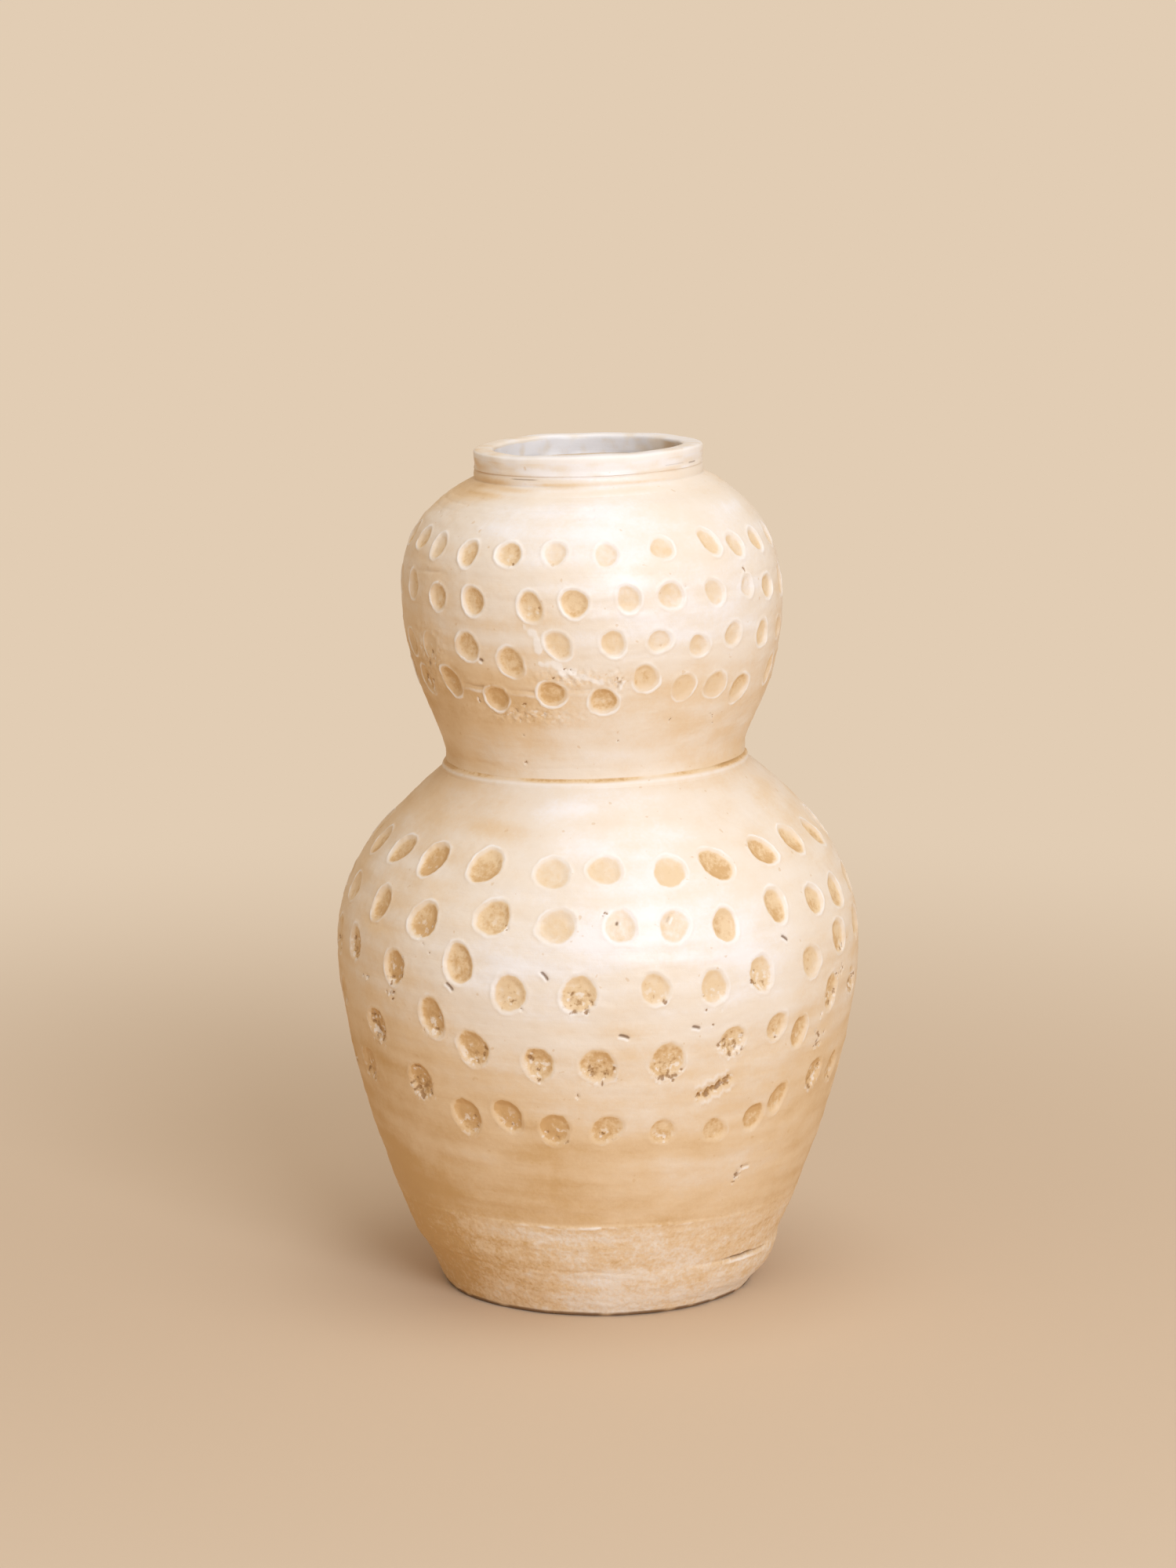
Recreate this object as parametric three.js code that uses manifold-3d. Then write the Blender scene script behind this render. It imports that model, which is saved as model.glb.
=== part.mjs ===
// Whitewashed terracotta vase in the shape of a double gourd. It is coil built:
// a wide belly jar and a smaller bulb, one on the other, with a short collar on top.
// Every coil is a ring of clay with bevelled seats, and each course of thumb presses
// is where one coil was thumbed down onto the next.
// Millimetres, +Z up, origin on the table under the middle of the foot. The front is -Y.

import * as THREE from 'three';
import { mergeVertices } from 'three/addons/utils/BufferGeometryUtils.js';
import Module from 'manifold-3d';

const wasm = await Module();
wasm.setup();

// Radii of the outside
const FOOT_RADIUS = 76;
const BELLY_RADIUS = 130;
const SHOULDER_TOP_RADIUS = 76;
const BULB_RADIUS = 94;
const COLLAR_RADIUS = 56;

// How far the bulb's foot stands in from the shoulder's top edge, and how far the luting
// under the collar has drawn in by the time that it reaches the collar
const BULB_FOOT_SET_IN = 2.5;
const LUTING_SET_IN = 0.6;
const BULB_FOOT_RADIUS = SHOULDER_TOP_RADIUS - BULB_FOOT_SET_IN;

// Thickness of the clay
const WALL = 9;
const FLOOR_THICKNESS = 13;
const COLLAR_WALL = 9.6;

// How far up each coil reaches, from the table to the lip
const BASE_EDGE_RISE = 25;
const FOOT_COIL_RISE = 27;
const LOWER_BELLY_COIL_RISE = 38;
const BELLY_COURSE_1_RISE = 36;
const BELLY_COURSE_2_RISE = 35;
const BELLY_COURSE_3_RISE = 30;
const BELLY_COURSE_4_RISE = 26.5;
const BELLY_COURSE_5_RISE = 25.5;
const SHOULDER_COIL_RISE = 19;
const WAIST_COIL_RISE = 5;
const LOWER_BULB_COIL_RISE = 32.5;
const BULB_COURSE_1_RISE = 22.5;
const BULB_COURSE_2_RISE = 22;
const BULB_COURSE_3_RISE = 22.5;
const BULB_COURSE_4_RISE = 21.5;
const NECK_COIL_RISE = 14;
const LUTING_ROLL_RISE = 3.5;
const LUTING_BAND_RISE = 5;
const COLLAR_RISE = 9.5;

// Where the belly and the bulb are widest, above the table and above the waist coil
const BELLY_WIDEST_HEIGHT = 172;
const BULB_WIDEST_RISE = 78;

// How far the outside runs straight on from each end of its curves
const FOOT_FLARE = 27;
const FOOT_PULL = 45;
const LOWER_FULLNESS = 46;
const UPPER_FULLNESS = 41;
const SHOULDER_SPREAD = 29;
const SHOULDER_DROP = 24;
const WAIST_PINCH = 2;
const WAIST_PULL = 13;
const BULB_LOWER_FULLNESS = 41;
const BULB_UPPER_FULLNESS = 13.5;
const NECK_SPREAD = 38;
const NECK_DROP = 17;

// Edges, seats and joints
const FOOT_EDGE = 1.4;
const LIP_EDGE = 2.4;
const WAIST_BEAD = 1.2;
const SEAT_LAP = 3;
const SLIP_GAP = 0.3;

// Thumb presses
const BELLY_PRESS_RADIUS = 8.6;
const BULB_PRESS_RADIUS = 6.8;
const BELLY_PRESS_DEPTH = 3;
const BULB_PRESS_DEPTH = 2.4;
const PRESS_OVERSHOOT = 1.5;

// How the pot settled while it was soft: the upper jar leans left, and the waist and the
// collar are tipped up to the right, while the bulb between them sits level
const LEAN = 5;
const TILT = THREE.MathUtils.degToRad(1.8);
const TILT_START_HEIGHT = 150;
const LEVELLING_RISE = 33;
const TIPPING_RISE = 40;

// How the presses behind wander, in degrees and millimetres, and how fast along a course
const TURN_WANDER = 1.5;
const LIFT_WANDER = 2;
const TURN_WANDER_PACE = 2.4;
const LIFT_WANDER_PACE = 1.7;

// Fineness of the facets
const TURN_STEPS = 40;
const OUTLINE_STEPS = 240;
const COIL_STEP_LENGTH = 16;
const PRESS_SIDES = 7;
const FLOOR_SEARCH_STEP = 0.1;
const MERGE_DISTANCE = 0.001;
const HEIGHT_TOLERANCE = 0.000001;

const FULL_TURN = 360;

// How far the middle of a quarter round stays from its corner, as a share of its radius
const ROUND_MIDDLE = 1 - Math.SQRT1_2;

// Finish of the wash, and its colours with the clay that shows through it
const MATTE = 0.85;
const CREAM = 0xeadcc6;
const WARM_CREAM = 0xe3cda9;
const TAN = 0xd3b287;

// Thumb presses that the front shows, course by course from the bottom: how far round
// from the front each lies, in degrees and positive to the right, and how far it is
// above the middle of its coil. A thumb never lands level twice, so these are lists.
const BELLY_PRESSES_1 = {
  turns: [-80, -65, -44, -32, -21, -10, 2, 15, 28, 39, 46, 60, 71],
  lifts: [13, 14, 14, -1, 2, -3, -2, -4, -6, -3, 4, 11, 9],
};
const BELLY_PRESSES_2 = {
  turns: [-76, -57, -38, -28, -13, 0, 15, 30, 42, 50, 62],
  lifts: [10, 2, 13, 0, -5, -5, -3, 4, 7, 1, 16],
};
const BELLY_PRESSES_3 = {
  turns: [-66, -49, -31, -19, -4, 12, 25, 37, 53, 66],
  lifts: [7, 2, 9, -3, -2, 0, -1, 2, 2, 9],
};
const BELLY_PRESSES_4 = {
  turns: [-76, -58, -42, -24, -9, 6, 18, 29, 44, 58, 70],
  lifts: [3, 2, -1, 4, 1, 2, 0, -2, 3, 1, 0],
};
const BELLY_PRESSES_5 = {
  turns: [-77, -61, -46, -29, -12, 2, 18, 31, 47, 61, 76],
  lifts: [0, 1, 0, 0, 0, -1, -3, -2, 0, 1, -1],
};
const BULB_PRESSES_1 = {
  turns: [-66, -50, -32, -13, 3, 16, 29, 41, 53, 73],
  lifts: [-1.5, 1, -4.5, -0.5, -4, 7, 1.5, 1, -3, 2.5],
};
const BULB_PRESSES_2 = {
  turns: [-58, -40, -25, -10, 6, 20, 33, 46, 61],
  lifts: [-4.5, -2, -8, 1.5, 2.5, 3, -0.5, 3, 0.5],
};
const BULB_PRESSES_3 = {
  turns: [-68, -52, -37, -18, -5, 11, 24, 39, 53, 65],
  lifts: [0.5, -2.5, -2, -3, -0.5, 2.5, 3, 2, 2.5, 0.5],
};
const BULB_PRESSES_4 = {
  turns: [-68, -56, -41, -26, -11, 5, 23, 41, 52, 65],
  lifts: [1.5, -0.5, -2, -1, 0.5, 0, 2, 3, 0, 0.5],
};

// The coils of the two jars, from the bottom up
const BELLY_COILS = [
  { name: 'base_dish', rise: BASE_EDGE_RISE, colour: TAN },
  { name: 'foot_coil', rise: FOOT_COIL_RISE, colour: TAN },
  { name: 'lower_belly_coil', rise: LOWER_BELLY_COIL_RISE, colour: WARM_CREAM },
  { name: 'belly_course_1', rise: BELLY_COURSE_1_RISE, colour: WARM_CREAM, presses: BELLY_PRESSES_1 },
  { name: 'belly_course_2', rise: BELLY_COURSE_2_RISE, colour: WARM_CREAM, presses: BELLY_PRESSES_2 },
  { name: 'belly_course_3', rise: BELLY_COURSE_3_RISE, colour: CREAM, presses: BELLY_PRESSES_3 },
  { name: 'belly_course_4', rise: BELLY_COURSE_4_RISE, colour: CREAM, presses: BELLY_PRESSES_4 },
  { name: 'belly_course_5', rise: BELLY_COURSE_5_RISE, colour: CREAM, presses: BELLY_PRESSES_5 },
  { name: 'shoulder_coil', rise: SHOULDER_COIL_RISE, colour: CREAM },
];
const BULB_COILS = [
  { name: 'lower_bulb_coil', rise: LOWER_BULB_COIL_RISE, colour: WARM_CREAM },
  { name: 'bulb_course_1', rise: BULB_COURSE_1_RISE, colour: WARM_CREAM, presses: BULB_PRESSES_1 },
  { name: 'bulb_course_2', rise: BULB_COURSE_2_RISE, colour: CREAM, presses: BULB_PRESSES_2 },
  { name: 'bulb_course_3', rise: BULB_COURSE_3_RISE, colour: CREAM, presses: BULB_PRESSES_3 },
  { name: 'bulb_course_4', rise: BULB_COURSE_4_RISE, colour: CREAM, presses: BULB_PRESSES_4 },
  { name: 'neck_coil', rise: NECK_COIL_RISE, colour: CREAM },
];

// Heights that follow from the rises
const totalRise = (coils) => coils.reduce((sum, coil) => sum + coil.rise, 0);
const SHOULDER_TOP = totalRise(BELLY_COILS);
const BULB_FOOT = SHOULDER_TOP + WAIST_COIL_RISE;
const BULB_WIDEST_HEIGHT = BULB_FOOT + BULB_WIDEST_RISE;
const NECK_TOP = BULB_FOOT + totalRise(BULB_COILS);
const BULB_TOP = NECK_TOP + LUTING_ROLL_RISE;
const COLLAR_FOOT = BULB_TOP + LUTING_BAND_RISE;
const LIP_HEIGHT = COLLAR_FOOT + COLLAR_RISE;

const point = (radius, height) => new THREE.Vector2(radius, height);

// One jar's wall: its outside as a run of points, each with the way up the wall and the
// way out of it, and lookups by the distance along the outside
function makeWall(curves) {
  const places = [];
  for (const curve of curves) {
    for (let i = places.length ? 1 : 0; i <= OUTLINE_STEPS; i++) {
      places.push(curve.getPoint(i / OUTLINE_STEPS));
    }
  }
  const along = [0];
  for (let i = 1; i < places.length; i++) {
    along.push(along[i - 1] + places[i].distanceTo(places[i - 1]));
  }
  const last = places.length - 1;

  // The outside at a distance along it, running straight on past either end
  function outside(distance) {
    const found = along.findIndex((passed) => passed > distance);
    const i = found < 0 ? last : Math.max(1, found);
    const share = (distance - along[i - 1]) / (along[i] - along[i - 1]);
    const up = places[i].clone().sub(places[i - 1]).normalize();
    return { place: places[i - 1].clone().lerp(places[i], share), up, out: point(up.y, -up.x) };
  }

  // The inside opposite that place, one wall thickness in
  function inside(distance) {
    const { place, out } = outside(distance);
    return place.addScaledVector(out, -WALL);
  }

  // The distance along the outside at which it reaches a height
  function distanceAt(height) {
    const i = Math.max(1, places.findIndex((place) => place.y >= height - HEIGHT_TOLERANCE));
    const share = (height - places[i - 1].y) / (places[i].y - places[i - 1].y);
    return along[i - 1] + share * (along[i] - along[i - 1]);
  }

  return { outside, inside, distanceAt };
}

const bellyWall = makeWall([
  new THREE.CubicBezierCurve(
    point(FOOT_RADIUS, 0),
    point(FOOT_RADIUS + FOOT_FLARE, FOOT_PULL),
    point(BELLY_RADIUS, BELLY_WIDEST_HEIGHT - LOWER_FULLNESS),
    point(BELLY_RADIUS, BELLY_WIDEST_HEIGHT)
  ),
  new THREE.CubicBezierCurve(
    point(BELLY_RADIUS, BELLY_WIDEST_HEIGHT),
    point(BELLY_RADIUS, BELLY_WIDEST_HEIGHT + UPPER_FULLNESS),
    point(SHOULDER_TOP_RADIUS + SHOULDER_SPREAD, SHOULDER_TOP - SHOULDER_DROP),
    point(SHOULDER_TOP_RADIUS, SHOULDER_TOP)
  ),
]);
const bulbWall = makeWall([
  new THREE.CubicBezierCurve(
    point(BULB_FOOT_RADIUS, BULB_FOOT),
    point(BULB_FOOT_RADIUS - WAIST_PINCH, BULB_FOOT + WAIST_PULL),
    point(BULB_RADIUS, BULB_WIDEST_HEIGHT - BULB_LOWER_FULLNESS),
    point(BULB_RADIUS, BULB_WIDEST_HEIGHT)
  ),
  new THREE.CubicBezierCurve(
    point(BULB_RADIUS, BULB_WIDEST_HEIGHT),
    point(BULB_RADIUS, BULB_WIDEST_HEIGHT + BULB_UPPER_FULLNESS),
    point(COLLAR_RADIUS + NECK_SPREAD, BULB_TOP - NECK_DROP),
    point(COLLAR_RADIUS, BULB_TOP)
  ),
]);

// Evenly spaced distances from one end of a stretch of wall to the other
function stations(from, to) {
  const steps = Math.max(1, Math.round(Math.abs(to - from) / COIL_STEP_LENGTH));
  return Array.from({ length: steps + 1 }, (_, i) => from + ((to - from) * i) / steps);
}

// Section of a coil between two distances along its wall. Both seats are bevels: the
// inner edge lies SEAT_LAP lower than the outer one, so each coil hangs a little way
// inside the coil below, which centres it. Half of the slip between two coils is
// left at each seat.
function coilSection(wall, from, to) {
  const low = from + SLIP_GAP / 2;
  const high = to - SLIP_GAP / 2;
  const outer = stations(low, high).map((distance) => wall.outside(distance).place);
  const inner = stations(high - SEAT_LAP, low - SEAT_LAP).map(wall.inside);
  return [...outer, ...inner];
}

// Section of the base: a round slab whose rim is turned up to meet the first coil
function baseSection(wall, to) {
  const high = to - SLIP_GAP / 2;
  const edge = wall.outside(wall.distanceAt(FOOT_EDGE)).place;
  const outer = stations(wall.distanceAt(FOOT_EDGE), high).map((distance) => wall.outside(distance).place);
  let floorEdge = high - SEAT_LAP;
  while (wall.inside(floorEdge).y > FLOOR_THICKNESS) {
    floorEdge -= FLOOR_SEARCH_STEP;
  }
  return [
    point(0, 0),
    point(edge.x - FOOT_EDGE, 0),
    point(edge.x - ROUND_MIDDLE * FOOT_EDGE, ROUND_MIDDLE * FOOT_EDGE),
    ...outer,
    wall.inside(high - SEAT_LAP),
    point(wall.inside(floorEdge).x, FLOOR_THICKNESS),
    point(0, FLOOR_THICKNESS),
  ];
}

// Section of the coil luted into the waist, which stands proud as a thin bead
function waistSection() {
  const shoulder = bellyWall.distanceAt(SHOULDER_TOP) + SLIP_GAP / 2;
  const lowOuter = bellyWall.outside(shoulder).place;
  const lowInner = bellyWall.inside(shoulder - SEAT_LAP);
  const highOuter = bulbWall.outside(-SLIP_GAP / 2).place;
  const highInner = bulbWall.inside(-SLIP_GAP / 2 - SEAT_LAP);
  const bead = lowOuter.clone().lerp(highOuter, 0.5).add(point(WAIST_BEAD, 0));
  return [lowOuter, bead, highOuter, highInner, lowInner];
}

// Section of the coil that the collar is luted down on: it carries the bulb's curve on as
// a roll, and then stands up as a band that the collar overhangs a little
function lutingSection() {
  const neck = bulbWall.distanceAt(NECK_TOP) + SLIP_GAP / 2;
  const outer = bulbWall.outside(neck).place;
  const inner = bulbWall.inside(neck - SEAT_LAP);
  const top = COLLAR_FOOT - SLIP_GAP / 2;
  return [
    outer,
    point(COLLAR_RADIUS, BULB_TOP),
    point(COLLAR_RADIUS - LUTING_SET_IN, top),
    point(COLLAR_RADIUS - COLLAR_WALL, top),
    point(COLLAR_RADIUS - COLLAR_WALL, inner.y + SEAT_LAP),
    inner,
  ];
}

// Section of the collar, with its lip rounded over on both sides
function collarSection() {
  const low = COLLAR_FOOT + SLIP_GAP / 2;
  const bore = COLLAR_RADIUS - COLLAR_WALL;
  const roundOff = ROUND_MIDDLE * LIP_EDGE;
  return [
    point(COLLAR_RADIUS, low),
    point(COLLAR_RADIUS, LIP_HEIGHT - LIP_EDGE),
    point(COLLAR_RADIUS - roundOff, LIP_HEIGHT - roundOff),
    point(COLLAR_RADIUS - LIP_EDGE, LIP_HEIGHT),
    point(bore + LIP_EDGE, LIP_HEIGHT),
    point(bore + roundOff, LIP_HEIGHT - roundOff),
    point(bore, LIP_HEIGHT - LIP_EDGE),
    point(bore, low),
  ];
}

// A geometry as a solid that can be cut
function solidOf(geometry) {
  const bare = geometry.clone();
  bare.deleteAttribute('normal');
  bare.deleteAttribute('uv');
  const merged = mergeVertices(bare, MERGE_DISTANCE);
  const mesh = new wasm.Mesh({
    numProp: 3,
    vertProperties: new Float32Array(merged.attributes.position.array),
    triVerts: new Uint32Array(merged.index.array),
  });
  return new wasm.Manifold(mesh);
}

// A cut solid as a geometry again
function geometryOf(solid) {
  const mesh = solid.getMesh();
  const geometry = new THREE.BufferGeometry();
  geometry.setAttribute('position', new THREE.BufferAttribute(mesh.vertProperties, 3));
  geometry.setIndex(new THREE.BufferAttribute(mesh.triVerts, 1));
  return geometry;
}

// A section turned once round the vertical axis
function turned(section) {
  const onAxis = section[0].x === 0;
  const outline = onAxis ? section : [...section, section[0]];
  return solidOf(new THREE.LatheGeometry(outline, TURN_STEPS).rotateX(Math.PI / 2));
}

// A course's presses all the way round: those of the front, and behind them as many
// more as the same spacing gives, wandering a little in turn and height
function allRound({ turns, lifts }) {
  const span = turns.at(-1) - turns[0];
  const behind = FULL_TURN - span;
  const count = Math.round(behind / (span / (turns.length - 1)));
  const front = turns.map((turn, i) => ({ turn, lift: lifts[i] }));
  const back = Array.from({ length: count - 1 }, (_, i) => {
    const share = (i + 1) / count;
    const turn = turns.at(-1) + behind * share + TURN_WANDER * Math.sin(TURN_WANDER_PACE * i);
    const level = THREE.MathUtils.lerp(lifts.at(-1), lifts[0], share);
    return { turn, lift: level + LIFT_WANDER * Math.sin(LIFT_WANDER_PACE * i) };
  });
  return [...front, ...back];
}

// How wide a press opens where its bowl runs PRESS_OVERSHOOT past the outside
const openRadius = ({ radius, depth }) => radius * (1 + PRESS_OVERSHOOT / depth);

// What one thumb press takes away: a shallow bowl that stands square to the wall, with
// its lowest point one press depth below the outside
function pressCutter(wall, press) {
  const { place, up, out } = wall.outside(press.distance);
  const bowl = new THREE.CylinderGeometry(openRadius(press), 0, press.depth + PRESS_OVERSHOOT, PRESS_SIDES);
  bowl.translate(0, (PRESS_OVERSHOOT - press.depth) / 2, 0);
  const turn = THREE.MathUtils.degToRad(press.turn);
  const ahead = new THREE.Vector3(Math.sin(turn), -Math.cos(turn), 0);
  const spread = (flat) => ahead.clone().multiplyScalar(flat.x).setZ(flat.y);
  const outward = spread(out);
  const upward = spread(up);
  const sideways = new THREE.Vector3().crossVectors(outward, upward);
  const centre = spread(place);
  bowl.applyMatrix4(new THREE.Matrix4().makeBasis(sideways, outward, upward).setPosition(centre));
  return solidOf(bowl);
}

// Every press on a jar, each with its distance along the wall
function pressesOf(wall, coils, footHeight, radius, depth) {
  const presses = [];
  let height = footHeight;
  for (const coil of coils) {
    for (const { turn, lift } of coil.presses ? allRound(coil.presses) : []) {
      const distance = wall.distanceAt(height + coil.rise / 2 + lift);
      presses.push({ turn, distance, radius, depth });
    }
    height += coil.rise;
  }
  return presses;
}

// How the soft clay settled: above the belly's widest place everything drifts to the
// left. From TILT_START_HEIGHT to the waist the courses tip up to the right, above the
// waist they come level again, and they tip once more up to the collar.
function settle(geometry) {
  const position = geometry.attributes.position;
  for (let i = 0; i < position.count; i++) {
    const x = position.getX(i);
    const z = position.getZ(i);
    const climb = Math.max(0, (z - BELLY_WIDEST_HEIGHT) / (LIP_HEIGHT - BELLY_WIDEST_HEIGHT));
    const tipped = THREE.MathUtils.smoothstep(z, TILT_START_HEIGHT, SHOULDER_TOP);
    const levelled = THREE.MathUtils.smoothstep(z, BULB_FOOT, BULB_FOOT + LEVELLING_RISE);
    const tippedAgain = THREE.MathUtils.smoothstep(z, COLLAR_FOOT - TIPPING_RISE, COLLAR_FOOT);
    const tip = tipped - levelled + tippedAgain;
    position.setX(i, x - LEAN * climb ** 1.5);
    position.setZ(i, z + x * Math.tan(TILT) * tip);
  }
  return geometry;
}

const vase = new THREE.Group();

function addPiece(name, solid, colour) {
  const material = new THREE.MeshStandardMaterial({ color: colour, roughness: MATTE, metalness: 0 });
  const piece = new THREE.Mesh(settle(geometryOf(solid)), material);
  piece.name = name;
  vase.add(piece);
}

// One jar, coil by coil, each cut by the presses that reach it
function addJar(wall, coils, footHeight, presses) {
  let height = footHeight;
  for (const coil of coils) {
    const from = wall.distanceAt(height);
    const to = wall.distanceAt(height + coil.rise);
    const isBase = height === 0;
    let solid = turned(isBase ? baseSection(wall, to) : coilSection(wall, from, to));
    for (const press of presses) {
      const reach = openRadius(press) + SEAT_LAP;
      if (press.distance > from - reach && press.distance < to + reach) {
        solid = solid.subtract(pressCutter(wall, press));
      }
    }
    addPiece(coil.name, solid, coil.colour);
    height += coil.rise;
  }
}

addJar(
  bellyWall,
  BELLY_COILS,
  0,
  pressesOf(bellyWall, BELLY_COILS, 0, BELLY_PRESS_RADIUS, BELLY_PRESS_DEPTH)
);
addPiece('waist_coil', turned(waistSection()), CREAM);
addJar(
  bulbWall,
  BULB_COILS,
  BULB_FOOT,
  pressesOf(bulbWall, BULB_COILS, BULB_FOOT, BULB_PRESS_RADIUS, BULB_PRESS_DEPTH)
);
addPiece('collar_luting_coil', turned(lutingSection()), WARM_CREAM);
addPiece('collar', turned(collarSection()), CREAM);

export default vase;
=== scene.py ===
# %% [markdown]
# # A whitewashed, thumb-pressed vase
#
# The real vase is a coil-built pot of red-brown clay. Two jars, a wide belly and a smaller
# bulb, stand one on the other, with a short collar on top. Each course of hollows is a row
# of thumb presses, and a thin cream wash was brushed over the dry clay, so that it lies thick
# on the rims of the presses and thin in their floors.
#
# This lesson builds every coil as a closed shell of clay, worked out with numpy on a grid of
# turn and height, and lets a few painted attributes tell the materials where the wash is thin.

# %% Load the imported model
import math

import bpy
import numpy as np
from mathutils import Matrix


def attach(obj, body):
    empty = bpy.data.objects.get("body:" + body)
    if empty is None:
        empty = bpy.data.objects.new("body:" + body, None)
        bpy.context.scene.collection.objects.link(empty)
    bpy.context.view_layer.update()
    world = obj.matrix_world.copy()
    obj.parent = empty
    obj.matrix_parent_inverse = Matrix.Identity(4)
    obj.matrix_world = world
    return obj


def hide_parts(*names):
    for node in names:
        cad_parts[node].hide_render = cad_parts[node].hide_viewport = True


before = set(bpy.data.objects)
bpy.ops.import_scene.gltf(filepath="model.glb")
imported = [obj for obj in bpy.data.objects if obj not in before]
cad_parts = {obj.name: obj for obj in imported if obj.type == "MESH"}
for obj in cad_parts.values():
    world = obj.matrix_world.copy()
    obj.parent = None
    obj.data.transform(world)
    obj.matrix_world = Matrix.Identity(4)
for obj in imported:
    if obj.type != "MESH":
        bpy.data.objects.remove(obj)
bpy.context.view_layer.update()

# %% [markdown]
# ## Sizes
#
# All shapes are worked out in millimetres and turned into metres only when a mesh is made.
# The radii, the rise of each coil and the pull of each curve are the same as the solids'.

# %% Sizes of the pot, in millimetres
MM = 0.001

FOOT_RADIUS = 76.0
BELLY_RADIUS = 130.0
SHOULDER_TOP_RADIUS = 76.0
BULB_FOOT_SET_IN = 2.5
BULB_RADIUS = 94.0
COLLAR_RADIUS = 56.0
LUTING_SET_IN = 0.6
WALL = 9.0
COLLAR_WALL = 9.6
FLOOR_THICKNESS = 13.0

BELLY_COILS = {
    "base_dish": 25.0,
    "foot_coil": 27.0,
    "lower_belly_coil": 38.0,
    "belly_course_1": 36.0,
    "belly_course_2": 35.0,
    "belly_course_3": 30.0,
    "belly_course_4": 26.5,
    "belly_course_5": 25.5,
    "shoulder_coil": 19.0,
}
WAIST_COIL_RISE = 5.0
BULB_COILS = {
    "lower_bulb_coil": 32.5,
    "bulb_course_1": 22.5,
    "bulb_course_2": 22.0,
    "bulb_course_3": 22.5,
    "bulb_course_4": 21.5,
    "neck_coil": 14.0,
}
LUTING_ROLL_RISE = 3.5
LUTING_BAND_RISE = 5.0
COLLAR_RISE = 9.5

SHOULDER_TOP = sum(BELLY_COILS.values())
BULB_FOOT = SHOULDER_TOP + WAIST_COIL_RISE
NECK_TOP = BULB_FOOT + sum(BULB_COILS.values())
BULB_TOP = NECK_TOP + LUTING_ROLL_RISE
COLLAR_FOOT = BULB_TOP + LUTING_BAND_RISE
LIP_HEIGHT = COLLAR_FOOT + COLLAR_RISE
BELLY_WIDEST = 172.0
BULB_WIDEST = BULB_FOOT + 78.0

# %% [markdown]
# ## The outline
#
# A potter's outline is a few smooth sweeps, so each jar is two Bezier curves: the foot to the
# widest place, and from there in to the joint. The curves are measured by the distance along
# them, because clay is rolled, pressed and smoothed along the wall and not straight up.

# %% Outline curves
def bezier(start, pull, reach, end, count=400):
    """Points of a cubic curve: start, start's pull, end's reach and end, weighed by the
    four cubic Bernstein shares of t as t runs from 0 to 1."""
    t = np.linspace(0.0, 1.0, count)[:, None]
    start, pull, reach, end = (np.array(place) for place in (start, pull, reach, end))
    return (1 - t) ** 3 * start + 3 * (1 - t) ** 2 * t * pull + 3 * (1 - t) * t**2 * reach + t**3 * end


class Wall:
    """The outside of a jar as radius and height at each distance along it, with the
    direction that points out of the clay."""

    def __init__(self, *curves):
        line = np.vstack([curves[0]] + [curve[1:] for curve in curves[1:]])
        steps = np.hypot(*np.diff(line, axis=0).T)
        self.along = np.concatenate([[0.0], np.cumsum(steps)])
        self.radius, self.height = line.T
        rise = np.gradient(self.height, self.along)
        run = np.gradient(self.radius, self.along)
        self.out_radius, self.out_height = rise, -run

    def at(self, along):
        """Radius, height and outward direction at these distances."""
        found = (self.radius, self.height, self.out_radius, self.out_height)
        return [np.interp(along, self.along, values) for values in found]

    def distance_at(self, height):
        """How far along the outside it first reaches a height."""
        return np.interp(height, self.height, self.along)


belly_wall = Wall(
    bezier(
        (FOOT_RADIUS, 0.0),
        (FOOT_RADIUS + 27.0, 45.0),
        (BELLY_RADIUS, BELLY_WIDEST - 46.0),
        (BELLY_RADIUS, BELLY_WIDEST),
    ),
    bezier(
        (BELLY_RADIUS, BELLY_WIDEST),
        (BELLY_RADIUS, BELLY_WIDEST + 41.0),
        (SHOULDER_TOP_RADIUS + 29.0, SHOULDER_TOP - 24.0),
        (SHOULDER_TOP_RADIUS, SHOULDER_TOP),
    ),
)
BULB_FOOT_RADIUS = SHOULDER_TOP_RADIUS - BULB_FOOT_SET_IN
bulb_wall = Wall(
    bezier(
        (BULB_FOOT_RADIUS, BULB_FOOT),
        (BULB_FOOT_RADIUS - 2.0, BULB_FOOT + 13.0),
        (BULB_RADIUS, BULB_WIDEST - 41.0),
        (BULB_RADIUS, BULB_WIDEST),
    ),
    bezier(
        (BULB_RADIUS, BULB_WIDEST),
        (BULB_RADIUS, BULB_WIDEST + 13.5),
        (COLLAR_RADIUS + 38.0, BULB_TOP - 17.0),
        (COLLAR_RADIUS, BULB_TOP),
    ),
)
print("wall lengths:", round(belly_wall.along[-1]), "mm and", round(bulb_wall.along[-1]), "mm")

# %% [markdown]
# ## How the soft pot settled
#
# The real pot isn't straight: its upper jar leans to the left, and the waist and the collar
# sit higher on the right, while the bulb between them is level. The solids have the same
# settling, so every grid goes through it.

# %% Settle
LEAN = 5.0
TILT = math.radians(1.8)
TILT_START = 150.0
LEVELLING_RISE = 33.0
TIPPING_RISE = 40.0


def smooth_step(low, high, value):
    """0 below low, 1 above high, and 3t^2 - 2t^3 between them."""
    t = np.clip((value - low) / (high - low), 0.0, 1.0)
    return t * t * (3.0 - 2.0 * t)


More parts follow.
